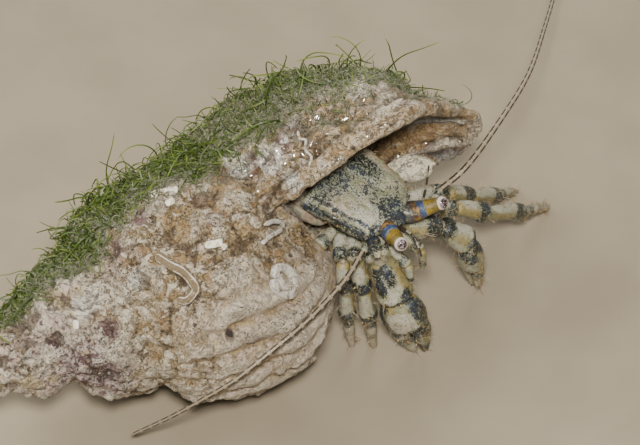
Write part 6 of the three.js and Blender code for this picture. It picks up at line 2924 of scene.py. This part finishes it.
@dataclass
class Crab:
    """The crab: its shield, skin, eyes, feelers, claws and legs, and the bristles on them."""
    stance: Stance = field(default_factory=Stance)
    haired: List[Form] = field(default_factory=list)
    sleeves: List[Form] = field(default_factory=list)

    def claws(self, finish: bpy.types.Material) -> None:
        """Build both claws, the right one larger.

        Args:
            finish: The plates' material.
        """
        for number, (side, (root, segments)) in enumerate(CLAW_TABLE.items()):
            claw = Claw(f"claw_{side.value}", side, root, segments, number)
            self.sleeves.append(claw.sleeves())
            for i, segment in enumerate(segments):
                form = claw.plate(i) if i < 2 else claw.chela(fixed=i == 2)
                self.add_plate(form, f"{claw.name}_{segment.name}", finish)

    def legs(self, finish: bpy.types.Material) -> None:
        """Build the two pairs of walking legs.

        Args:
            finish: The plates' material.
        """
        for number, ((pair, side), (root, sizes)) in enumerate(LEG_TABLE.items()):
            plates = zip(LEG_NAMES, sizes, LEG_OUTLINES, LEG_MARKS)
            segments = [Segment(*plate, LEG_BOW) for plate in plates]
            leg = Limb(f"leg_{pair}_{side.value}", side, root, segments, 2 + number)
            self.sleeves.append(leg.sleeves())
            for i, segment in enumerate(segments):
                self.add_plate(leg.plate(i), f"{leg.name}_{segment.name}", finish)

    def small_limbs(self, finish: bpy.types.Material) -> None:
        """Build the holding legs, the mouth's limbs and the feelers' stalks, each in one piece.

        Args:
            finish: The plates' material.
        """
        for number, ((kind, side), (root, sizes)) in enumerate(SMALL_TABLE.items()):
            outlines = ("link", "toe")
            segments = [Segment(kind, size, outlines[i], INNER) for i, size in enumerate(sizes)]
            limb = Limb(kind, side, root, segments, 6 + number, rings=36, sides=24)
            name = f"antenna_{side.value}_stalk" if kind == "antenna" else f"{kind}_{side.value}"
            self.add_plate(Form.joined([limb.plate(0), limb.plate(1)]), name, finish)

    def add_plate(self, form: Form, name: str, finish: bpy.types.Material) -> None:
        """Show one plate in place of its CAD node, and let bristles grow on it.

        Args:
            form: The plate.
            name: Its CAD node.
            finish: Its material.
        """
        form.points[:, 2] = np.maximum(form.points[:, 2], 0.02)
        self.haired.append(form)
        shown(form, name.replace("_", "-"), finish, [name])

    def body(self, plate: bpy.types.Material, skin: bpy.types.Material) -> None:
        """Build the shield and the soft skin.

        Args:
            plate: The plates' material.
            skin: The soft skin's material.
        """
        carapace = Carapace()
        shield = carapace.shield()
        self.haired.append(shield)
        shown(shield, "shield-plate", plate, ["shield"])
        flesh = carapace.skin(self.sleeves)
        flesh.points[:, 2] = np.maximum(flesh.points[:, 2], 0.05)
        shown(flesh, "soft-skin", skin, ["thorax", "rear_carapace", "abdomen"])

    def eyes(self, plate: bpy.types.Material) -> None:
        """Build both eyes.

        Args:
            plate: The plates' material.
        """
        stalk, cornea = EyestalkFinish().material(), CorneaFinish().material()
        for eye in (Eye(Side.RIGHT, (-0.95, -0.75, -0.3), -27, 12, (0.25, -0.75, 0.62)),
                    Eye(Side.LEFT, (-0.2, 1.2, -0.3), 45, 16, (0.62, -0.55, 0.56))):
            side = eye.side.value
            shown(eye.stalk_form(), f"eyestalk-{side}", stalk, [f"eyestalk_{side}"])
            shown(eye.cornea_form(), f"cornea-{side}", cornea, [f"cornea_{side}"])
            shown(eye.scale_form(), f"eye-scale-{side}", plate)
            shown(self.feeler_scale(eye.side), f"antenna-scale-{side}", plate)

    def feeler_scale(self, side: Side) -> Form:
        """The dark pointed plate beside a long feeler's stalk.

        Args:
            side: The crab's own side.

        Returns:
            The scale, marked for its finish.
        """
        place, yaw, size = FEELER_SCALES[side]
        limb = Limb("scale", side, place, [], 5, self.stance)
        start, direction = self.stance.point(place), self.stance.facing(yaw, 8.0)
        marks = Marks(dark=((0.45, 0.4, 1.1),), amber=0.2, pale=0.5, silt=0.0, hair=0.8)
        form = limb.marked(limb.tube(start, direction, size, "claw_tip"), start, direction, size[0],
                           marks, 2, 0.5)
        self.haired.append(form)
        return form

    def feelers(self) -> None:
        """Build the long feelers and the short ones between the eyes."""
        long_finish = FeelerFinish("feeler").material()
        short_finish = FeelerFinish("antennule", dash_length=1.1, filled=0.62, banded=True).material()
        for side in Side:
            root, sizes = SMALL_TABLE[("antenna", side)]
            stalk = Limb("antenna", side, root, [Segment("stalk", size, "toe") for size in sizes], 0)
            start, direction = stalk.joints()[-1]
            feeler = Feeler(start + direction * sizes[-1][0] * 0.9, ANTENNA_LINES[side], thick=0.44,
                            thin=0.24)
            node = f"antenna_{side.value}_feeler"
            piece_of(feeler.mesh(long_finish), node.replace("_", "-"), [node])
            root, line = ANTENNULE_LINES[side]
            short = Feeler(self.stance.point(root), line, thick=0.24, thin=0.12, joint=0.3)
            node = f"antennule_{side.value}"
            piece_of(short.mesh(short_finish), node.replace("_", "-"), [node])

    def bristles(self) -> None:
        """Grow the bristles and the small spines on the plates."""
        names = {"growth", "spines", "lie", "root_uv"}
        hosts = [Form(form.points, form.faces, {n: form.values[n] for n in names}) for form in self.haired]
        host = Form.joined(hosts)
        for finish, coat in ((BRISTLE, BRISTLES), (HORN, SPINES)):
            coat.grow(host, finish.material(), "plate")


# ---------------------------------------------------------------- the whole


def build_shell() -> None:
    """The shell, the tubes and flakes on it, and its weed."""
    shell = Shell()
    skin = shell.weathered(shell.body())
    shown(skin, "worn-shell", WornShellFinish().material(), ["shell"])
    lime = WormTubeFinish().material()
    tubes = [shell.worm_tube(path, radius, white) for path, radius, white in WORM_PATHS]
    shown(Form.joined(tubes), "worm-tubes", lime)
    flakes = [shell.flake(*place, seed) for seed, place in enumerate(FLAKES)]
    shown(Form.joined(flakes), "lime-flakes", ChipFinish().material())
    names = ("growth", "turf", "fuzz", "lie", "root_uv")
    host = Form(skin.points, skin.faces, {name: skin.values[name] for name in names})
    green, turf, pale = (finish.material() for finish in (GREEN_WEED, GREY_TURF, PALE_FUZZ))
    FILAMENTS.grow(host, green, "weed", ["weed_mat"])
    for coat, finish in ((CURLS, green), (TANGLE, green), (TURF, turf), (FUZZ, pale)):
        coat.grow(host, finish, "weed")


@dataclass(frozen=True)
class Studio:
    """A plain pale floor, soft light, and the camera."""
    target: Point = (3.79, 0.295, 0.0)
    distance: float = 250.0
    elevation: float = 50.0
    frame_width: float = 45.71
    floor_half: float = 1500.0
    floor_dark: Colour = rgb(0.255, 0.215, 0.155)
    floor_light: Colour = rgb(0.285, 0.245, 0.175)
    sky: Colour = rgb(0.96, 0.92, 0.86)
    sky_strength: float = 0.24

    def floor(self) -> None:
        """Lay the floor."""
        m = Paint("pale_floor")
        grain = m.noise(m.place(), 0.15, 3, 0.5)
        colour = m.blend(m.smooth(grain, 0.3, 0.7), self.floor_dark, self.floor_light)
        material = m.finish(colour, 0.85)
        half = self.floor_half * MM
        mesh = bpy.data.meshes.new("floor")
        mesh.from_pydata([(-half, -half, 0), (half, -half, 0), (half, half, 0), (-half, half, 0)], [],
                         [(0, 1, 2, 3)])
        mesh.materials.append(material)
        made = linked("floor", mesh)

    def lamp(self, name: str, place: Point, size: float, power: float,
             tint: Tuple[float, float, float]) -> None:
        """Hang one soft lamp that looks at the crab.

        Args:
            name: The lamp's name.
            place: Where it hangs, in millimetres.
            size: How wide it is, in millimetres.
            power: Its power in watts.
            tint: Its colour.
        """
        light = bpy.data.lights.new(name, "AREA")
        light.size = size * MM
        light.energy = power
        light.color = tint
        made = linked(name, light)
        made.location = Vector(place) * MM
        made.rotation_euler = (-made.location).to_track_quat("-Z", "Y").to_euler()

    def build(self) -> None:
        """Set up everything round the crab."""
        self.floor()
        self.lamp("key", (5.0, -155.0, 222.0), size=32.0, power=1.05, tint=(1.0, 0.95, 0.86))
        self.lamp("side", (-170.0, 10.0, 190.0), size=120.0, power=0.40, tint=(1.0, 0.96, 0.90))
        self.lamp("rim", (60.0, 230.0, 150.0), size=140.0, power=0.32, tint=(1.0, 0.97, 0.92))
        world = bpy.data.worlds.new("studio")
        world.use_nodes = True
        background = world.node_tree.nodes["Background"].inputs
        background["Color"].default_value = self.sky
        background["Strength"].default_value = self.sky_strength
        bpy.context.scene.world = world
        self.camera()

    def camera(self) -> None:
        """Look down at the crab from the front."""
        lens = bpy.data.cameras.new("camera")
        lens.lens = lens.sensor_width * self.distance / self.frame_width
        lens.clip_start, lens.clip_end = 0.01, 10.0
        climb = math.radians(self.elevation)
        back = Vector((0.0, -math.cos(climb), math.sin(climb)))
        made = linked("camera", lens)
        made.location = (Vector(self.target) + back * self.distance) * MM
        made.rotation_euler = (-back).to_track_quat("-Z", "Y").to_euler()
        bpy.context.scene.camera = made


def main() -> None:
    """Build the shell, the crab and the studio, in that order."""
    logging.basicConfig(level=logging.INFO, format="%(name)s %(message)s")
    build_shell()
    crab = Crab()
    plate, skin = PlateFinish().material(), SoftSkinFinish().material()
    crab.claws(plate)
    crab.legs(plate)
    crab.small_limbs(plate)
    crab.body(plate, skin)
    crab.eyes(plate)
    crab.feelers()
    crab.bristles()
    Studio().build()


if __name__ == "__main__":
    main()
